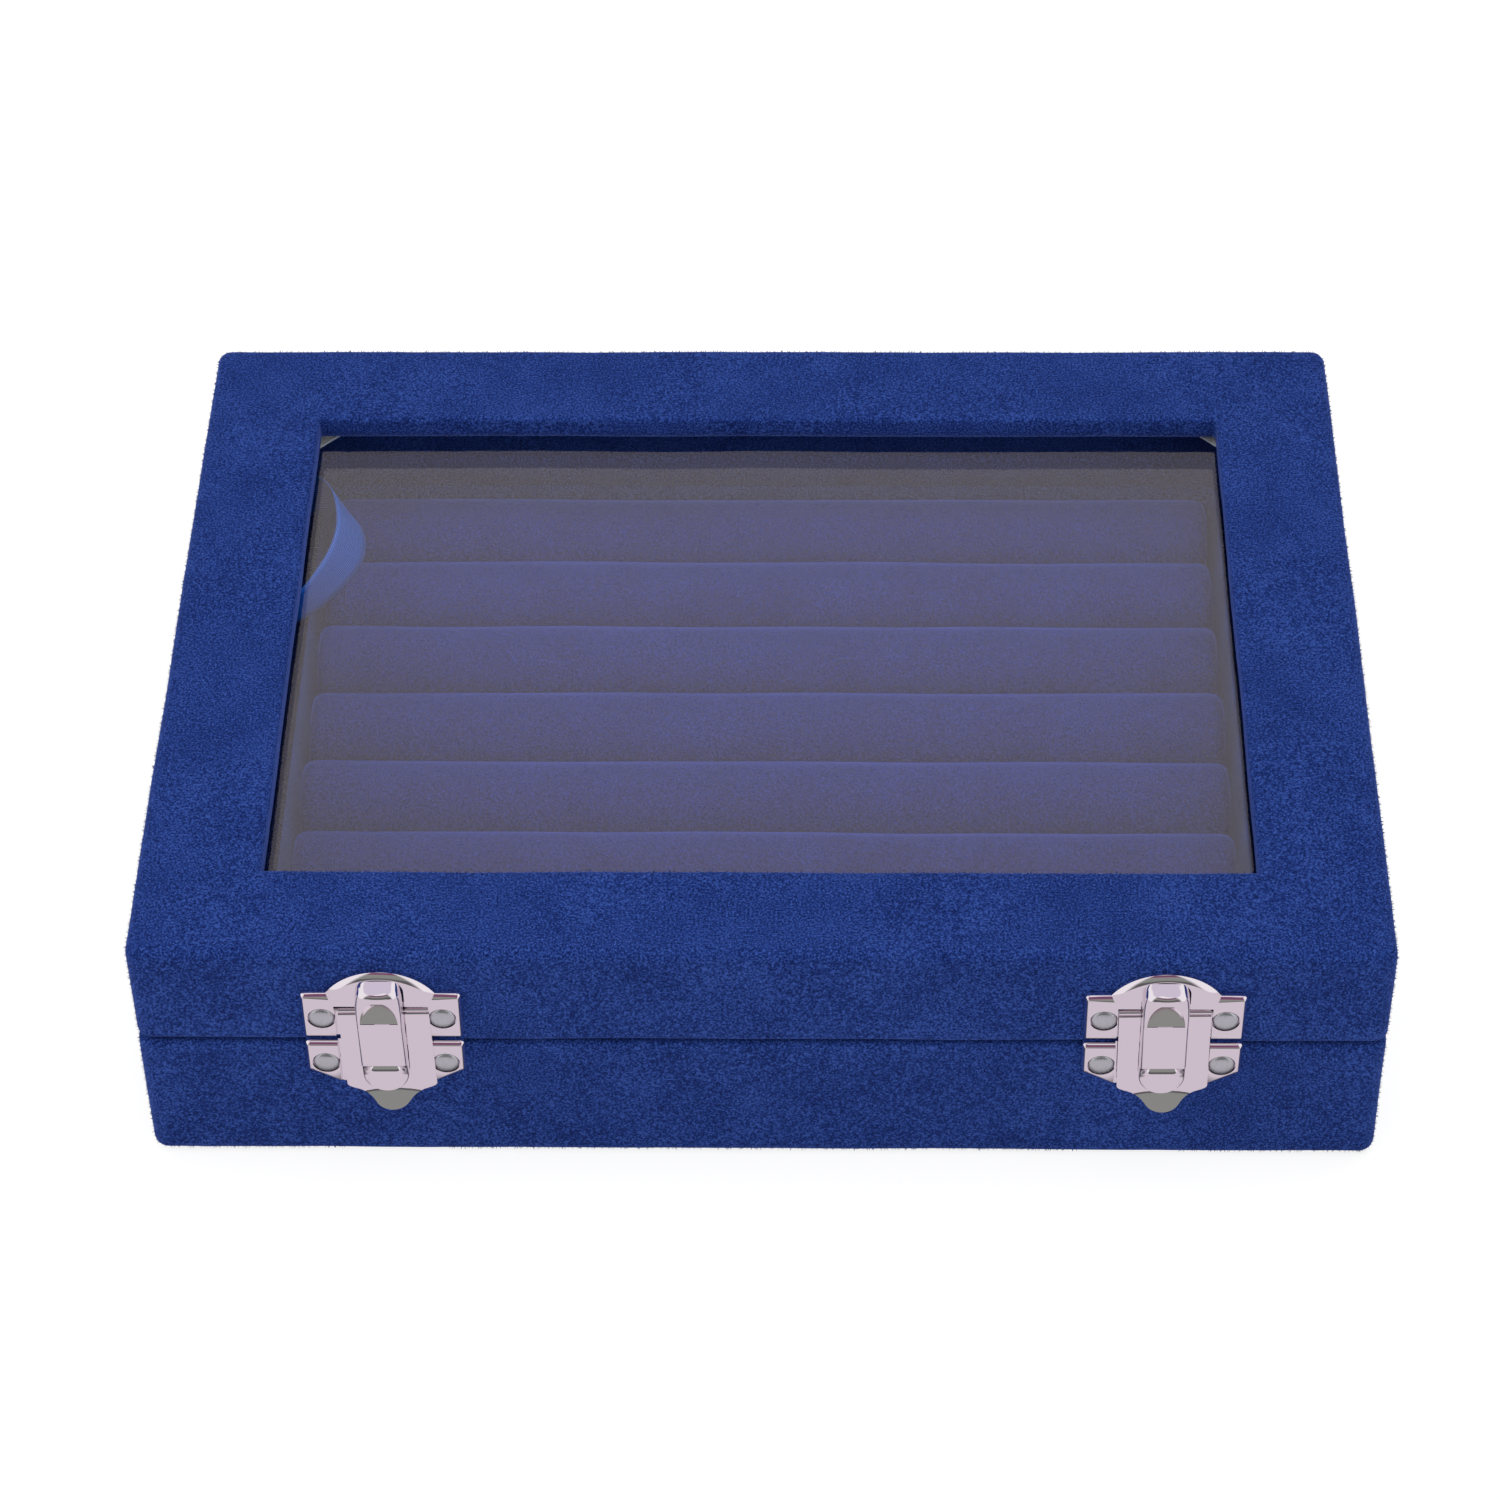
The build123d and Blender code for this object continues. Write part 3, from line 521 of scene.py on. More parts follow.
def makeBaseSkin():
    shape, skin = velvetBox, baseSkin
    (halfX, halfY), corner, edge, rim = shape["half"], shape["cornerRadius"], shape["edgeRadius"], shape["rimRadius"]
    roomX, roomY = skin["room"]
    rings = [(roomX + inset, roomY + inset, 0.5, skin["under"]) for inset in (0.4, 1.6, 2.8)]
    rings += sectionArc(halfX - edge, halfY - edge, corner - edge, skin["under"] + edge, edge, -90, 0)
    rings += climb(rings[-1], skin["under"] + edge, skin["rim"] - rim, 2.0)
    rings += sectionArc(halfX - rim, halfY - rim, corner - rim, skin["rim"] - rim, rim, 0, 90)
    rings += [(halfX - 3, halfY - 3, 1.4, skin["rim"])]
    rings += [(roomX + rim - out, roomY + rim - out, 1.2 - out * 0.6, skin["rim"] - down)
              for out, down in reversed(shape["rimTurn"])]
    rings += climb(rings[-1], rings[-1][3], skin["floor"], 3.0)
    rings += [(roomX, roomY, 0.6, skin["floor"])]
    return makeSkin(rings, Vector((100, 0, 14)), "baseVelvetSkin", "base", ["base_velvet"])


def makeLidSkin():
    shape, skin = velvetBox, lidSkin
    (halfX, halfY), corner, edge, rim = shape["half"], shape["cornerRadius"], shape["edgeRadius"], shape["rimRadius"]
    roomX, roomY = skin["room"]
    windowX, windowY = skin["window"]
    mouth = skin["mouth"]
    rings = [(roomX, roomY, 0.6, skin["roomTop"])]
    rings += climb(rings[-1], skin["roomTop"], skin["rim"] + rim, 3.0)
    rings += [(roomX + rim - out, roomY + rim - out, 1.2 - out * 0.6, skin["rim"] + up)
              for out, up in shape["rimTurn"]]
    rings += [(halfX - 3, halfY - 3, 1.4, skin["rim"])]
    rings += sectionArc(halfX - rim, halfY - rim, corner - rim, skin["rim"] + rim, rim, -90, 0)
    rings += climb(rings[-1], skin["rim"] + rim, skin["top"] - edge, 2.0)
    rings += sectionArc(halfX - edge, halfY - edge, corner - edge, skin["top"] - edge, edge, 0, 90)
    topX, topY, topCorner, topZ = rings[-1]
    middle = Vector(skin["windowMiddle"])
    for index in range(1, 10):
        part = index / 10
        rings.append((topX + (windowX + mouth - topX) * part, topY + (windowY + mouth - topY) * part,
                      topCorner + (1.6 - topCorner) * part, topZ, tuple(middle * part)))
    for angle in (90, 65, 40, 20, 0):
        turn = math.radians(angle)
        out = mouth * (1 - math.cos(turn))
        rings.append((windowX + out, windowY + out, 0.7 + out, skin["top"] - mouth * (1 - math.sin(turn)),
                      tuple(middle)))
    rings += [(windowX, windowY, 0.7, z, tuple(middle)) for z in (46.2, 45.2, skin["reveal"])]
    return makeSkin(rings, Vector((100, 0, 38)), "lidVelvetSkin", "lid", ["lid_velvet"])


baseCloth = makeBaseSkin()
lidCloth = makeLidSkin()
print("stage: velvet skins")


# Velvet pile: short fibres that stand on the outside of the skins and make their outline soft
pileShape = {
    "perMm2": 1.75, "width": 0.14, "length": (0.32, 0.62), "tilt": 0.7, "sunk": 0.1,
    "outside": (98.6, 73.6, 47.3),       # the skins are covered beyond these, in x, y and z
    "bare": (60, 8.4),                   # x and half width of the strips left bare, where flap and bill swing
}


def makeFibre():
    bm = bmesh.new()
    bmesh.ops.create_cone(bm, cap_ends=True, segments=3, radius1=pileShape["width"] * mm / 2, radius2=0, depth=mm,
                          matrix=Matrix.Translation((0, 0, (0.5 - pileShape["sunk"]) * mm)))
    return makeObject(bm, "pileFibre")


def makePile(cloth, name, body, seed):
    shape = pileShape
    outX, outY, outZ = (limit * mm for limit in shape["outside"])
    bm = bmesh.new()
    bm.from_mesh(cloth.data)
    middles = [(face, face.calc_center_median()) for face in bm.faces]
    inner = [face for face, at in middles if abs(at.x) <= outX and abs(at.y) <= outY and at.z <= outZ]
    bmesh.ops.delete(bm, geom=inner, context="FACES")
    ground = makeObject(bm, name + "Ground")
    fibre = makeFibre()
    tree = bpy.data.node_groups.new(name + "Nodes", "GeometryNodeTree")
    for way in ("INPUT", "OUTPUT"):
        tree.interface.new_socket("Geometry", in_out=way, socket_type="NodeSocketGeometry")
    start = addNode(tree, "NodeGroupInput")
    spots = addNode(tree, "GeometryNodeDistributePointsOnFaces", Mesh=start,
                    Density=shape["perMm2"] / mm ** 2, Seed=seed)
    low, high = shape["length"]
    tall = addNode(tree, "FunctionNodeRandomValue", {"data_type": "FLOAT_VECTOR"}, s0=(1, 1, low), s1=(1, 1, high),
                   Seed=seed + 1)
    tilt = shape["tilt"]
    turn = addNode(tree, "FunctionNodeRandomValue", {"data_type": "FLOAT_VECTOR"}, s0=(-tilt, -tilt, 0),
                   s1=(tilt, tilt, 2 * math.pi), Seed=seed + 2)
    bent = addNode(tree, "FunctionNodeRotateRotation", {"rotation_space": "LOCAL"}, s0=spots.outputs["Rotation"],
                   s1=addNode(tree, "FunctionNodeEulerToRotation", s0=turn).outputs[0])
    blade = addNode(tree, "GeometryNodeObjectInfo", s0=fibre)
    stood = addNode(tree, "GeometryNodeInstanceOnPoints", Points=spots,
                    Instance=blade.outputs["Geometry"], Rotation=bent, Scale=tall)
    whole = addNode(tree, "GeometryNodeRealizeInstances", s0=stood)
    addNode(tree, "NodeGroupOutput", s0=whole)
    addModifier(ground, "fibres", "NODES", node_group=tree)
    mesh = evaluated(ground)
    mesh.name = name
    for item in (ground, fibre):
        bpy.data.objects.remove(item)
    bpy.data.node_groups.remove(tree)
    latchX, halfBare = (size * mm for size in shape["bare"])
    bm = bmesh.new()
    bm.from_mesh(mesh)
    corners = bm.verts[:]
    fibres = [corners[i:i + 4] for i in range(0, len(corners), 4)]     # three at the foot and the tip
    inWay = [corner for group in fibres for corner in group
             if group[0].co.y < -outY and abs(abs(group[0].co.x) - latchX) < halfBare]
    bmesh.ops.delete(bm, geom=inWay, context="VERTS")
    bm.to_mesh(mesh)
    bm.free()
    pile = addObject(name, mesh)
    mesh.materials.clear()
    mesh.materials.append(finishes["velvet"])
    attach(pile, body)
    print(name, len(mesh.polygons), "faces")


makePile(baseCloth, "basePile", "base", 11)
makePile(lidCloth, "lidPile", "lid", 23)
print("stage: velvet pile")


# Ring tray and its foam rolls
trayShape = {"half": (81.0, 61.0), "low": 4.8, "rim": 27.5, "wall": 2.0, "floor": 6.8, "corner": 2.0,
             "rimRadius": 0.8}
rollShape = {"count": 7, "pitch": 16.9, "width": 16.5, "low": 6.85, "top": 30.0, "length": 157.2, "steps": 56,
             "unevenness": (0.30, 24.0), "room": 0.12,
             # from the crown's foot to the bottom: in from the side, and share of the way down
             "side": ((0.03, 0.25), (0.20, 0.5), (0.35, 0.75), (0.75, 0.96), (1.6, 1.0)),
             "ends": ((0.0, 0.80), (0.25, 0.90), (0.8, 0.965), (1.8, 1.0))}   # in from the end, and size there


def makeTray():
    shape = trayShape
    halfX, halfY = shape["half"]
    bm = block(-halfX, halfX, -halfY, halfY, shape["low"], shape["rim"])
    uprights = [edge for edge in bm.edges if abs(edge.verts[0].co.z - edge.verts[1].co.z) > 1]
    roundOff(bm, uprights, shape["corner"], 5)
    top = max(bm.faces, key=lambda face: face.calc_center_median().z)
    bmesh.ops.inset_region(bm, faces=[top], thickness=shape["wall"], use_even_offset=True)
    bmesh.ops.translate(bm, vec=(0, 0, shape["floor"] - shape["rim"]), verts=top.verts[:])
    rim = [edge for edge in bm.edges if min(point.co.z for point in edge.verts) > shape["rim"] - 0.01
           and abs(edge.calc_face_angle(0)) > 1]
    roundOff(bm, rim, shape["rimRadius"], 4)
    finishPiece(bm, "velvetTray", "velvet", "base", ["ring_tray"], 60)


def makeRoll(number):
    # section drawn once, pushed along x, its ends rounded, then made a little uneven
    shape = rollShape
    middleY = ((shape["count"] + 1) / 2 - number) * shape["pitch"]
    radius = shape["width"] / 2
    axisZ = shape["top"] - radius
    section = [(y, axisZ + z) for y, z in (polar(radius, angle) for angle in range(0, 181, 12))]
    side = [(radius - part, axisZ + (shape["low"] - axisZ) * down) for part, down in shape["side"]]
    section += [(-y, z) for y, z in side] + [(0, shape["low"])] + side[::-1]
    half = shape["length"] / 2
    stations = [(end * (half - inset), size) for inset, size in shape["ends"] for end in (-1, 1)]
    stations += [(2 * half * index / shape["steps"] - half, 1.0) for index in range(1, shape["steps"])]
    stations = sorted(set(stations))
    bm = bmesh.new()
    ring = [bm.verts.new((stations[0][0], *point)) for point in section]
    face = bm.faces.new(ring)
    middle = Vector((0, 0, axisZ - 2))
    for point in face.verts:
        point.co.yz = middle.yz + (point.co.yz - middle.yz) * stations[0][1]
    lastSize = stations[0][1]
    for x, size in stations[1:]:
        face = found(bmesh.ops.extrude_face_region(bm, geom=[face]), bmesh.types.BMFace)[0]
        for point in face.verts:
            point.co.yz = middle.yz + (point.co.yz - middle.yz) * (size / lastSize)
            point.co.x = x
        lastSize = size
    fillGaps(bm)
    inside = [item for item in bm.faces if len(item.verts) > 4 and abs(item.calc_center_median().x) < half - 0.01]
    bmesh.ops.delete(bm, geom=inside, context="FACES_ONLY")
    move(bm, 0, middleY, 0)
    mendNormals(bm)
    ripple(bm, *shape["unevenness"], number * 5.3)
    widest = radius + shape["room"]
    for point in bm.verts:
        point.co.y = max(middleY - widest, min(middleY + widest, point.co.y))
        point.co.z = max(point.co.z, shape["low"])
    roll = finishPiece(bm, f"foamRoll{number}", "roll_velvet", "base", [f"ring_roll_{number}"], 180)
    addModifier(roll, "soft", "SUBSURF", levels=1, render_levels=1)


makeTray()
for number in range(1, rollShape["count"] + 1):
    makeRoll(number)
print("stage: tray and rolls")


# Ribbon stay: it stands on edge, leans out at its foot, and runs on to the lid's and the base's walls
ribbonShape = {
    "upper": [(-93.6, 7.0, 39.4), (-93.6, 10.0, 39.4), (-93.0, 13.0, 39.4), (-88.5, 15.5, 39.4), (-82.0, 18.0, 39.2),
              (-78.2, 26.0, 39.0), (-76.4, 33.0, 39.0), (-76.4, 40.0, 38.8), (-78.4, 48.0, 38.3), (-83.0, 54.0, 36.0),
              (-88.5, 57.0, 31.5), (-92.6, 58.5, 27.0), (-93.6, 61.0, 25.0), (-93.6, 65.0, 25.0)],
    "lower": [(-93.6, 7.0, 30.6), (-93.6, 10.0, 30.6), (-92.8, 13.5, 30.5), (-87.0, 17.5, 30.2), (-80.4, 23.0, 30.0),
              (-75.2, 30.0, 30.0), (-72.2, 37.0, 30.2), (-72.4, 43.5, 30.6), (-75.4, 49.5, 29.5), (-81.0, 54.5, 26.0),
              (-87.5, 57.5, 21.0), (-92.4, 59.0, 16.5), (-93.6, 61.0, 15.0), (-93.6, 65.0, 15.0)],
    "along": 6,                          # points between two given ones
    "across": 6,
    "thick": 0.18,
}


def smoothLine(points, between):
    # an even curve through the given points
    line = []
    points = [Vector(point) for point in points]
    for index in range(len(points) - 1):
        before = points[max(index - 1, 0)]
        start, end = points[index], points[index + 1]
        after = points[min(index + 2, len(points) - 1)]
        line += geometry.interpolate_bezier(start, start + (end - before) / 6, end - (after - start) / 6, end,
                                            between + 1)[:-1]
    return line + [points[-1]]


def makeRibbon():
    shape = ribbonShape
    upper, lower = smoothLine(shape["upper"], shape["along"]), smoothLine(shape["lower"], shape["along"])
    bm = bmesh.new()
    marks = bm.loops.layers.uv.new("weave")
    rows = shape["across"]
    bmesh.ops.create_grid(bm, x_segments=len(upper) - 1, y_segments=rows, size=0.5)
    grid = {}
    for point in bm.verts:
        column, row = round((point.co.x + 0.5) * (len(upper) - 1)), round((point.co.y + 0.5) * rows)
        grid[point] = (column, row)
    for point, (column, row) in grid.items():
        point.co = lower[column].lerp(upper[column], row / rows)
    for face in bm.faces:
        for corner in face.loops:
            column, row = grid[corner.vert]
            corner[marks].uv = (column / (len(upper) - 1), row / rows)
    ribbon = finishPiece(bm, "ribbonStay", "ribbon", None, ["stay_ribbon"], 60)
    addModifier(ribbon, "cloth", "SOLIDIFY", thickness=shape["thick"] * mm, offset=0)
    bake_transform(ribbon)


makeRibbon()


# Latches, in a local frame: x to the right, y = -d where d is outwards from the front face, z up
latchPlaces = {"left": -60.0, "right": 64.0}
frontFace = -75.0
plateShape = {
    "thick": 1.5, "web": 0.4, "ear": 12.8, "earCorner": 1.0,
    "rim": ((0.12, 0.20), (0.30, 0.28), (0.22, 0.19), (0.18, 0.11), (0.14, 0.05)),   # in and up, from the edge
    "narrow": 0.62,                                                                  # of the rim at the ears
    "upperLow": 29.5, "upperEar": 39.6, "archCentre": 34.08, "archRadius": 10.22, "archStart": 32.7,
    "groove": (35.0, 37.2), "channel": 7.5,
    "bay": (3.8, 38.4, 43.25, 2.6),      # half width, foot, top and corner radius
    "lowerTop": 28.5, "lowerEar": 21.8, "lowerFoot": 18.5, "footHalf": 7.2,
    "nib": (2.0, 0.75, 25.1, 26.1),      # half width, front, foot and top
    "lug": [(0.3, 37.5), (1.5, 37.5), (2.0, 38.4), (2.8, 39.7), (2.2, 40.2), (1.6, 38.6), (0.3, 37.9)],
    "lugHalf": 1.2, "lugPin": (3.0, 40.5, 0.85, 0.5),      # depth, height, radius and bore
    "edge": 0.1,
}
rivetShape = {"x": 9.6, "upperZ": 34.4, "lowerZ": 23.9, "seatRadius": 2.25, "seatDepth": 0.9,
              "dome": [(0, 1.88), (0.7, 1.85), (1.35, 1.76), (1.75, 1.62), (2.02, 1.42), (2.12, 1.22), (2.14, 0.92)],
              "shank": [(0.9, 0.92), (0.9, -3.6), (0, -3.6)]}
flapShape = {
    "half": 7.25, "back": 1.1, "front": 1.8, "top": 35.7,
    "slot": (2.6, 22.8, 26.6),           # half width, foot and top
    "knuckle": (0.9, 36.0, 0.62, 0.4),   # depth, height, radius and bore
    "side": [(7.25, 19.4), (7.2, 18.6), (6.0, 18.4), (4.4, 17.6), (3.4, 17.05), (3.1, 16.6), (2.6, 15.95),
             (2.1, 15.25), (1.1, 14.8), (0.0, 14.8)],
    "bendTop": 18.9, "bendDish": 0.03, "bendRadius": 1.3, "bendAngle": 45, "bendCuts": 16,
    "edge": 0.24,
    # mm to the right and degrees, as each stamping hangs on its loose knuckle
    "lean": {"left": (0.35, 1.2), "right": (-0.05, 1.2)},
}
billShape = {
    "back": 2.1, "front": 4.5, "arch": 36.3, "tip": 19.1, "hoodFoot": 38.6,
    # depth, half width, rise of the hood over the arch's foot, and how square it is: 2 is an ellipse
    "rings": ((1.5, 3.75, 6.85, 5.5), (2.1, 3.74, 6.72, 5.2), (2.8, 3.72, 6.56, 4.8), (3.4, 3.70, 6.42, 4.4),
              (3.8, 3.66, 6.30, 3.7), (4.1, 3.60, 6.15, 2.9), (4.3, 3.50, 5.95, 2.4), (4.42, 3.36, 5.72, 2.1),
              (4.5, 3.20, 5.50, 2.0)),
    "innerHalf": 2.98, "innerCrown": 41.25,
    # depth and height of the crease between the face and the round tongue, at its middle and at its sides
    "crease": ((26.5, 4.5, 4.5), (26.35, 4.42, 4.42), (26.2, 3.9, 4.15), (25.7, 2.6, 3.8), (24.9, 2.4, 3.6),
               (24.31, 2.38, 3.5), (24.2, 2.46, 3.48), (24.05, 2.63, 3.44), (23.86, 2.80, 3.4), (23.65, 2.95, 3.35),
               (23.29, 3.10, 3.25), (22.9, 3.15, 3.15)),
    "creaseSide": (2.0, 3.1),
    "pin": (3.0, 40.5, 0.55, 3.05),      # depth, height, bore and half length
    "tab": (2.0, 24.3, 0.8, 1.0),        # half width, height, thickness and the depth that it reaches
    "ramp": [(4.4, 36.25), (2.75, 37.9), (1.95, 38.6), (1.95, 38.1), (2.5, 37.5), (3.9, 35.9)],
    "rampDish": (0.03, 0.02),
    "ragged": (0.15, 0.5, 0.55),         # gap, unevenness and waves per mm of the sheared edge
    "raggedFrom": 24.8,
    "wall": 0.6, "pinPlay": 0.05,
    "edge": 0.06, "lean": (-0.1, 0.5),
}


def rod(place, radius, length, axis):
    turn = Matrix.Rotation(math.pi / 2, 4, "Y" if axis == "x" else "X")
    bm = bmesh.new()
    bmesh.ops.create_cone(bm, cap_ends=True, segments=32, radius1=radius, radius2=radius, depth=length,
                          matrix=Matrix.Translation((place[0], -place[1], place[2])) @ turn)
    return bm


def extrudeFace(bm, face, way):
    # makes a closed prism of one face
    far = bmesh.ops.extrude_face_region(bm, geom=[face])
    bmesh.ops.translate(bm, vec=way, verts=found(far, bmesh.types.BMVert))
    fillGaps(bm)
    mendNormals(bm)
    return bm


def sheetOf(outline, d0, d1, softened=()):
    # a flat piece from its outline in x and z, between two depths; softened corners are made round
    bm = bmesh.new()
    face = bm.faces.new([bm.verts.new((x, -d0, z)) for x, z in outline])
    corners = [point for point in bm.verts if any((point.co - Vector((x, -d0, z))).length < 0.01
                                                  for x, z in softened)]
    if corners:
        roundOff(bm, corners, plateShape["earCorner"], 5, "VERTICES")
        face = bm.faces[:][0]
    return extrudeFace(bm, face, (0, d0 - d1, 0))


def slabOf(section, x0, x1):
    # a piece with the same section, given in d and z, all along x
    bm = bmesh.new()
    face = bm.faces.new([bm.verts.new((x0, -d, z)) for d, z in section])
    return extrudeFace(bm, face, (x1 - x0, 0, 0))


def frontOf(bm):
    return min(bm.faces, key=lambda face: (round(face.calc_center_median().y, 3), -face.calc_area()))


def cutFaces(bm, faces, place, way):
    edges = {edge for face in faces for edge in face.edges}
    points = {point for face in faces for point in face.verts}
    bmesh.ops.bisect_plane(bm, geom=list(faces) + list(edges) + list(points), plane_co=place, plane_no=way)


def cutRows(bm, places, axis="z"):
    # cuts the whole shape across at each place, so that it can bend there
    way = Vector((axis == "x", 0, axis == "z"))
    for place in places:
        bmesh.ops.bisect_plane(bm, geom=bm.verts[:] + bm.edges[:] + bm.faces[:], plane_co=way * place, plane_no=way)


def carve(bm, tools, joined=(), flatten=True):
    # cuts the tools out of the shape and joins the rest on, with exact booleans
    body = makeObject(bm, "stock")
    helpers = []
    for kind, shapes in (("DIFFERENCE", tools), ("UNION", joined)):
        for shape in shapes:
            helpers.append(makeObject(shape, "cutter"))
            addModifier(body, "cut", "BOOLEAN", operation=kind, solver="EXACT", object=helpers[-1])
    result = bmesh.new()
    result.from_mesh(evaluated(body))
    for item in helpers + [body]:
        bpy.data.objects.remove(item)
    bmesh.ops.remove_doubles(result, verts=result.verts[:], dist=0.004)
    fillGaps(result)
    if flatten:
        bmesh.ops.dissolve_limit(result, angle_limit=math.radians(1), verts=result.verts[:], edges=result.edges[:])
    return result


def arcPoints(centreX, centreZ, radius, start, end, count):
    turns = [polar(radius, start + (end - start) * index / count) for index in range(count + 1)]
    return [(centreX + x, centreZ + z) for x, z in turns]


def archedOutline(half, top, radius, low, steps=8):
    # straight sides under two rounded upper corners
    corner = arcPoints(half - radius, top - radius, radius, 0, 90, steps)
    return [(half, low)] + corner + [(-x, z) for x, z in reversed(corner)] + [(-half, low)]


def slopeRim(bm, earTop):
    # the pressed edge rolls over to the front face, more tightly at the ears
    shape = plateShape
    for inward, up in shape["rim"]:
        bmesh.ops.inset_region(bm, faces=[frontOf(bm)], thickness=inward, depth=up, use_even_offset=True)
    width = sum(inward for inward, up in shape["rim"]) + 0.02
    for point in bm.verts:
        gap = shape["ear"] - abs(point.co.x)
        if gap < width:
            point.co.x = math.copysign(shape["ear"] - gap * shape["narrow"], point.co.x)
        if abs(point.co.x) > 9.0 and 0 < earTop - point.co.z < width:
            point.co.z = earTop - (earTop - point.co.z) * shape["narrow"]


def lean(bm, shift, degrees):
    # the real stampings sit a little askew on their pins
    pinZ = flapShape["knuckle"][1]
    bmesh.ops.rotate(bm, verts=bm.verts[:], cent=(0, 0, pinZ), matrix=Matrix.Rotation(math.radians(-degrees), 3, "Y"))
    move(bm, shift, 0, 0)


def rivetTools(z):
    shape = rivetShape
    tools = [rod((side * shape["x"], 2 + shape["seatDepth"], z), shape["seatRadius"], 4.0, "y") for side in (-1, 1)]
    return tools + [rod((side * shape["x"], 0, z), 0.9, 4.0, "y") for side in (-1, 1)]


def finishLatch(bm, latch, name, body, node, smooth, edge=0, slotName="bright_nickel"):
    move(bm, latchPlaces[latch], frontFace, 0)
    piece = finishPiece(bm, f"{name}_{latch}", slotName, body, [f"{node}_{latch}"], smooth)
    if edge:
        crispEdges(piece, edge)


def makeUpperPlate(latch):
    shape = plateShape
    ear, low, earTop = shape["ear"], shape["upperLow"], shape["upperEar"]
    start = shape["archStart"]
    arc = arcPoints(0, shape["archCentre"], shape["archRadius"], start, 180 - start, 28)
    corners = [(-ear, low), (ear, low), (ear, earTop), (-ear, earTop)]
    rise = sum(up for inward, up in shape["rim"])
    bm = sheetOf(corners[:3] + arc + corners[3:], 0, shape["thick"] - rise, corners)
    slopeRim(bm, earTop)
    channel, (grooveLow, grooveHigh) = shape["channel"], shape["groove"]
    bay, bayLow, bayHigh, bayRadius = shape["bay"]
    tools = [block(-channel, channel, shape["web"], 5, low - 2, grooveHigh),
             block(-channel, channel, -1, 5, grooveLow, grooveHigh),
             sheetOf(archedOutline(bay, bayHigh, bayRadius, bayLow), -1, 5)]
    pinD, pinZ, lugRadius, pinRadius = shape["lugPin"]
    lug = [slabOf(shape["lug"], -shape["lugHalf"], shape["lugHalf"]),
           rod((0, pinD, pinZ), lugRadius, 2 * shape["lugHalf"], "x")]
    bm = carve(bm, tools + rivetTools(rivetShape["upperZ"]), lug)
    bm = carve(bm, [rod((0, pinD, pinZ), pinRadius, 2 * shape["lugHalf"] + 1, "x")])
    finishLatch(bm, latch, "upperPlate", "lid", "upper_plate", 35, shape["edge"])


def makeLowerPlate(latch):
    shape = plateShape
    ear, low, top = shape["ear"], shape["lowerEar"], shape["lowerTop"]
    corners = [(ear, low), (ear, top), (-ear, top), (-ear, low)]
    outline = [(shape["footHalf"], shape["lowerFoot"])] + corners + [(-shape["footHalf"], shape["lowerFoot"])]
    rise = sum(up for inward, up in shape["rim"])
    bm = sheetOf(outline, 0, shape["thick"] - rise, corners)
    slopeRim(bm, top)
    channel = shape["channel"]
    tools = [block(-channel, channel, shape["web"], 5, shape["lowerFoot"] - 2, top + 2)]
    nibHalf, nibTop, nibLow, nibHigh = shape["nib"]
    bm = carve(bm, tools + rivetTools(rivetShape["lowerZ"]),
               [block(-nibHalf, nibHalf, 0.2, nibTop, nibLow, nibHigh)])
    finishLatch(bm, latch, "lowerPlate", "base", "lower_plate", 35, shape["edge"])


def makeRivets(latch, row, z, body):
    # domes spun from their section
    shape = rivetShape
    bm = bmesh.new()
    for side in (-1, 1):
        centre = Vector((side * shape["x"], 0, z))
        line = [bm.verts.new(centre + Vector((r, -d, 0))) for r, d in shape["dome"] + shape["shank"]]
        edges = [bm.edges.new((line[i], line[i + 1])) for i in range(len(line) - 1)]
        bmesh.ops.spin(bm, geom=line + edges, cent=centre, axis=(0, 1, 0), dvec=(0, 0, 0), angle=2 * math.pi,
                       steps=36, use_merge=True)
    bmesh.ops.remove_doubles(bm, verts=bm.verts[:], dist=0.001)
    mendNormals(bm)
    finishLatch(bm, latch, f"{row}Rivets", body, f"{row}_rivets", 50, slotName="rivet_steel")


def bendLip(point):
    # wraps the flat blank round the bend, then on at its angle
    shape = flapShape
    start = shape["bendTop"] - shape["bendDish"] * point.co.x ** 2
    run = start - point.co.z
    if run <= 0:
        return
    full = math.radians(shape["bendAngle"])
    centre = shape["front"] + shape["bendRadius"]
    reach = centre + point.co.y
    angle = min(run / shape["bendRadius"], full)
    beyond = max(0.0, run - full * shape["bendRadius"])
    point.co.z = start - reach * math.sin(angle) - beyond * math.cos(full)
    point.co.y = -(centre - reach * math.cos(angle) + beyond * math.sin(full))


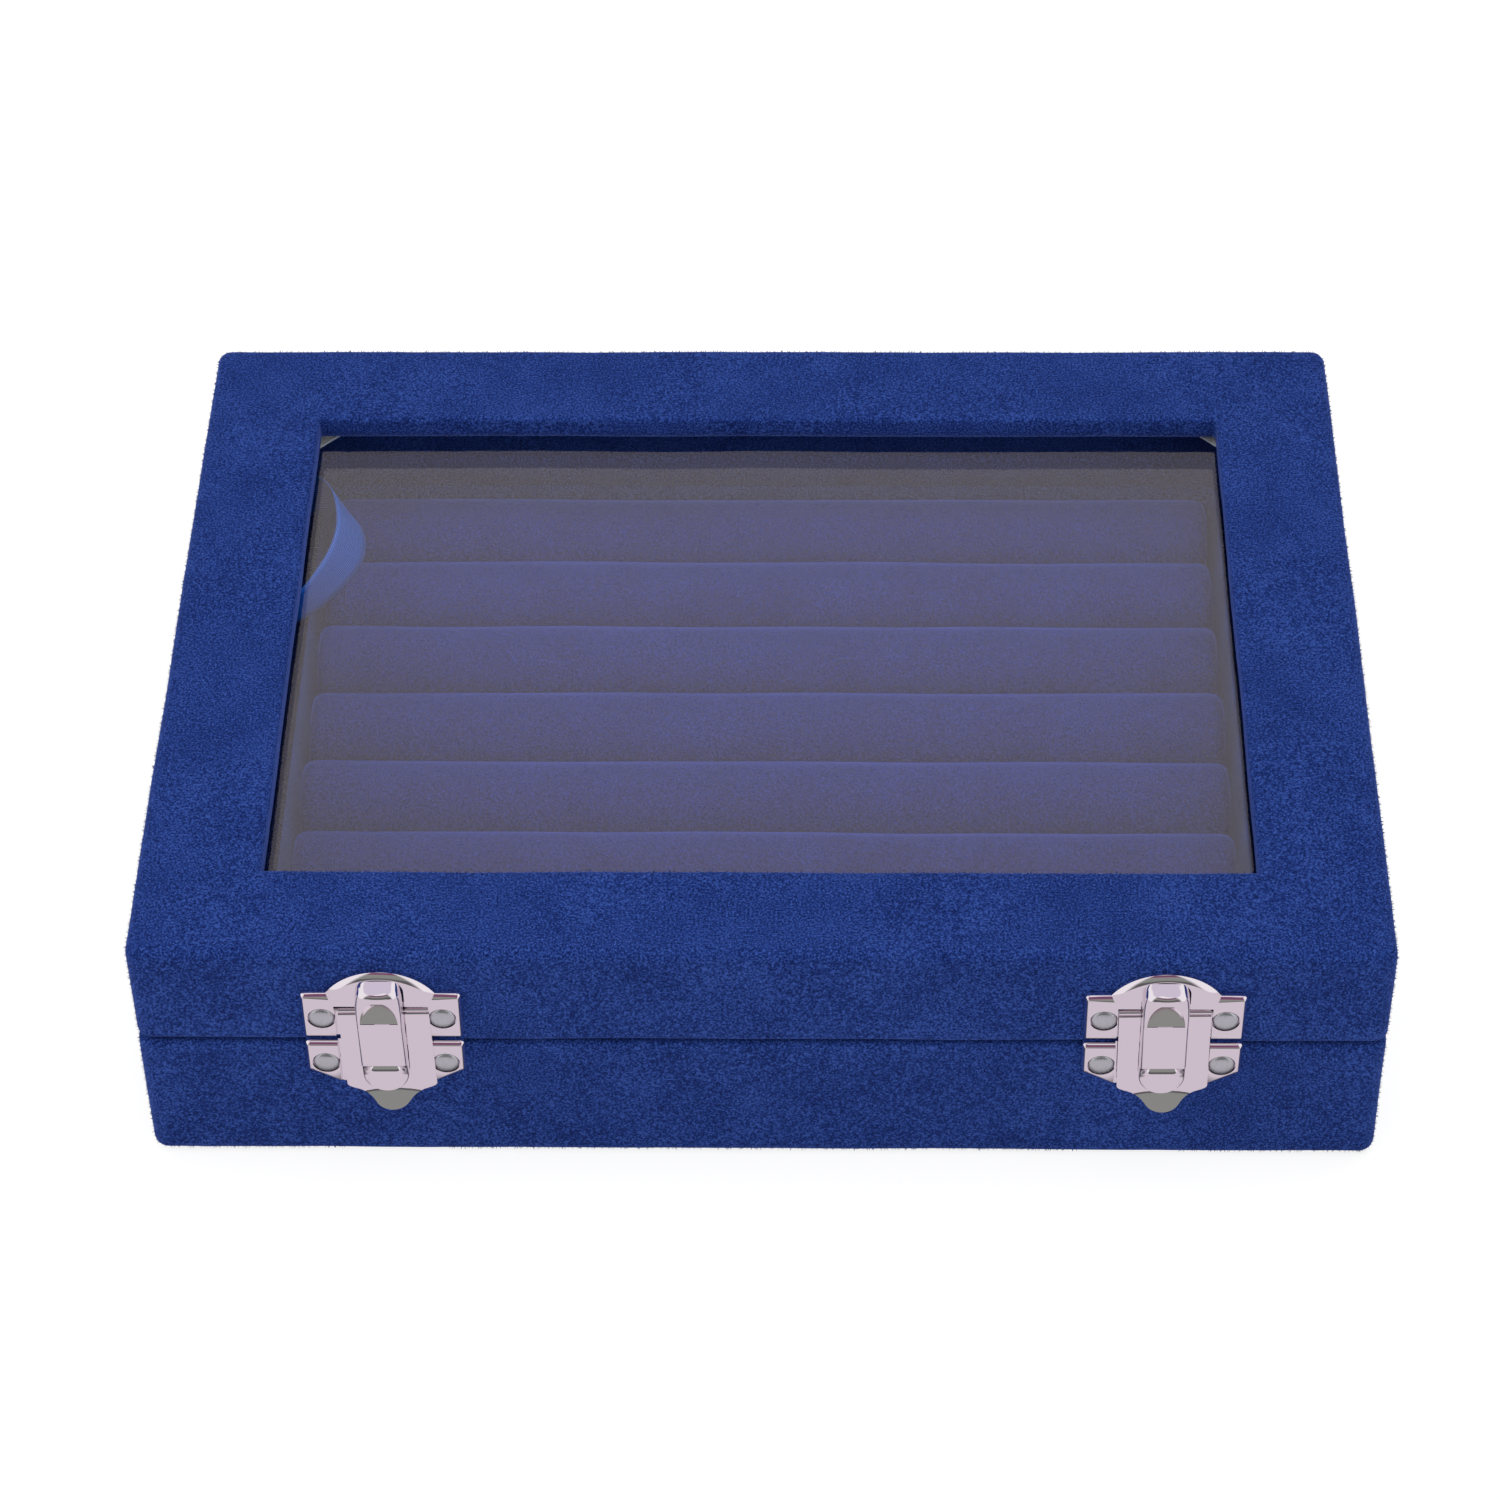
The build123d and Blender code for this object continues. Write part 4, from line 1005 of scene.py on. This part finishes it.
def makeFlap(latch):
    shape = flapShape
    curves = [Vector((*point, 0)) for point in shape["side"]]
    side = []
    for index in range(0, len(curves) - 1, 3):
        side += geometry.interpolate_bezier(*curves[index:index + 4], 10)[:-1]
    side = [(point.x, point.y) for point in side]
    foot = shape["side"][-1][1]
    outline = [(-shape["half"], shape["top"]), (shape["half"], shape["top"])] + side + [(0.0, foot)]
    outline += [(-x, z) for x, z in reversed(side)]
    bm = sheetOf(outline, shape["back"], shape["front"])
    slotHalf, slotLow, slotHigh = shape["slot"]
    pinD, pinZ, knuckle, bore = shape["knuckle"]
    bm = carve(bm, [block(-slotHalf, slotHalf, 0, 4, slotLow, slotHigh)],
               [rod((0, pinD, pinZ), knuckle, 2 * shape["half"], "x")])
    bm = carve(bm, [rod((0, pinD, pinZ), bore, 2 * shape["half"] + 4, "x")])
    bmesh.ops.triangulate(bm, faces=bm.faces[:])
    bendTop, cuts = shape["bendTop"], shape["bendCuts"]
    cutRows(bm, [bendTop - (bendTop - foot) * index / cuts for index in range(cuts)])
    cutRows(bm, [0.75 * index for index in range(-8, 9)], "x")
    for point in bm.verts:
        bendLip(point)
    lean(bm, *shape["lean"][latch])
    finishLatch(bm, latch, "flapPlate", f"flap_{latch}", "flap", 25, shape["edge"])


def billRing(half, rise, square):
    # outline at one depth: the hood's arch, straight sides and the tongue's round end
    shape = billShape
    outline = []
    for index in range(37):
        turn = math.radians(180 * index / 36)
        x, z = math.cos(turn), math.sin(turn)
        outline.append((math.copysign(abs(x) ** (2 / square), x) * half, shape["arch"] + z ** (2 / square) * rise))
    foot = [(-x, shape["tip"] + half - z) for x, z in (polar(half, 10 * index) for index in range(19))]
    return outline + foot


def creaseDepth(x, z):
    # depth of the front surface, where it folds in between the face and the tongue
    shape = billShape
    line = shape["crease"]
    near, far = shape["creaseSide"]
    part = min(1.0, max(0.0, (abs(x) - near) / (far - near)))
    part = part * part * (3 - 2 * part)
    depths = [(height, middle + (side - middle) * part) for height, middle, side in line]
    if z >= depths[0][0]:
        return depths[0][1]
    for (z0, d0), (z1, d1) in zip(depths, depths[1:]):
        if z >= z1:
            return d1 + (d0 - d1) * (z - z1) / (z0 - z1)
    return depths[-1][1]


def makeRamp(inner):
    # the dished ramp behind the opening
    shape = billShape
    bm = slabOf(shape["ramp"], -inner, inner)
    cutRows(bm, [index * 0.5 for index in range(-5, 6)], "x")
    kink, end = shape["rampDish"]
    for point in bm.verts:
        away = point.co.x ** 2
        if abs(point.co.y + shape["ramp"][1][0]) < 0.01:
            point.co += Vector((0, -kink * away, -kink * away))
        elif abs(point.co.y + shape["ramp"][2][0]) < 0.01:
            point.co.z -= end * away
    return bm


def makeBill(latch):
    shape = billShape
    front, back, arch = shape["front"], shape["back"], shape["arch"]
    bm = bmesh.new()
    first = shape["rings"][0]
    bottom = [bm.verts.new((x, -first[0], z)) for x, z in billRing(*first[1:])]
    edges = [bm.edges.new((bottom[index - 1], bottom[index])) for index in range(len(bottom))]
    for depth, half, rise, square in shape["rings"][1:]:
        grown = bmesh.ops.extrude_edge_only(bm, edges=edges)
        edges = found(grown, bmesh.types.BMEdge)
        # the new points still lie on those that they grew from
        order = {tuple(point.co): index for index, point in enumerate(bottom)}
        bottom = sorted(found(grown, bmesh.types.BMVert), key=lambda point: order[tuple(point.co)])
        for point, (x, z) in zip(bottom, billRing(half, rise, square)):
            point.co = (x, -depth, z)
    fillGaps(bm)
    mendNormals(bm)
    lowest = shape["crease"][0][0]
    for height, middle, side in shape["crease"] + ((arch, 0, 0),):
        cutFaces(bm, [face for face in bm.faces if face.calc_center_median().y < -back], (0, 0, height), (0, 0, 1))
    for index in range(-7, 8):
        cutFaces(bm, [face for face in bm.faces if face.calc_center_median().y < 0.01 - front
                      and face.calc_center_median().z < lowest + 1], (0.4 * index, 0, 0), (1, 0, 0))
    for point in bm.verts:
        if point.co.z < lowest + 0.01 and -point.co.y > back + 0.01:
            reach = (-point.co.y - back) / (front - back)
            point.co.y = -(back + reach * (creaseDepth(point.co.x, point.co.z) - back))
    bmesh.ops.triangulate(bm, faces=bm.faces[:])
    inner, rise = shape["innerHalf"], shape["innerCrown"] - arch
    turns = [math.radians(angle) for angle in range(0, 181, 6)]
    mouth = [(inner * math.cos(turn), arch + rise * math.sin(turn)) for turn in turns]
    mouth = [(inner, arch - 0.02)] + mouth[1:-1] + [(-inner, arch - 0.02)]
    pinD, pinZ, bore, pinHalf = shape["pin"]
    tools = [block(-5, 5, 0, back, 10, shape["hoodFoot"]),
             block(-inner, inner, 0, front - shape["wall"], shape["crease"][0][0] + 0.3, arch),
             sheetOf(mouth, -1, front + 1),
             rod((0, pinD, pinZ), bore, 2 * pinHalf + 0.2, "x")]
    tabHalf, tabZ, tabThick, tabEnd = shape["tab"]
    joined = [makeRamp(inner + 0.1),
              block(-tabHalf, tabHalf, tabEnd, back + 0.3, tabZ - tabThick / 2, tabZ + tabThick / 2)]
    bm = carve(bm, tools, joined, False)
    cutRows(bm, [26.5 + 0.9 * index for index in range(11)])
    gap, uneven, waves = shape["ragged"]
    for point in bm.verts:
        # the sheared rear edge of the cheeks is a little ragged
        if abs(point.co.y + back) < 0.02 and point.co.z > shape["raggedFrom"]:
            wave = noise.noise(Vector((point.co.x * 3, latchPlaces[latch], point.co.z * waves)))
            point.co.y -= max(0.0, gap + uneven * wave)
    lean(bm, *shape["lean"])
    finishLatch(bm, latch, "billPlate", f"bill_{latch}", "bill", 40, shape["edge"])
    pin = rod((0, pinD, pinZ), bore - shape["pinPlay"], 2 * pinHalf, "x")
    ends = [edge for edge in pin.edges if abs(abs(edge.verts[0].co.x) - pinHalf) < 0.01
            and abs(edge.verts[0].co.x - edge.verts[1].co.x) < 0.01]
    roundOff(pin, ends, 0.15, 3)
    finishLatch(pin, latch, "billPin", "lid", "bill_pin", 40, slotName="rivet_steel")


for latch in latchPlaces:
    makeUpperPlate(latch)
    makeLowerPlate(latch)
    makeRivets(latch, "upper", rivetShape["upperZ"], "lid")
    makeRivets(latch, "lower", rivetShape["lowerZ"], "base")
    makeFlap(latch)
    makeBill(latch)
print("stage: latches")
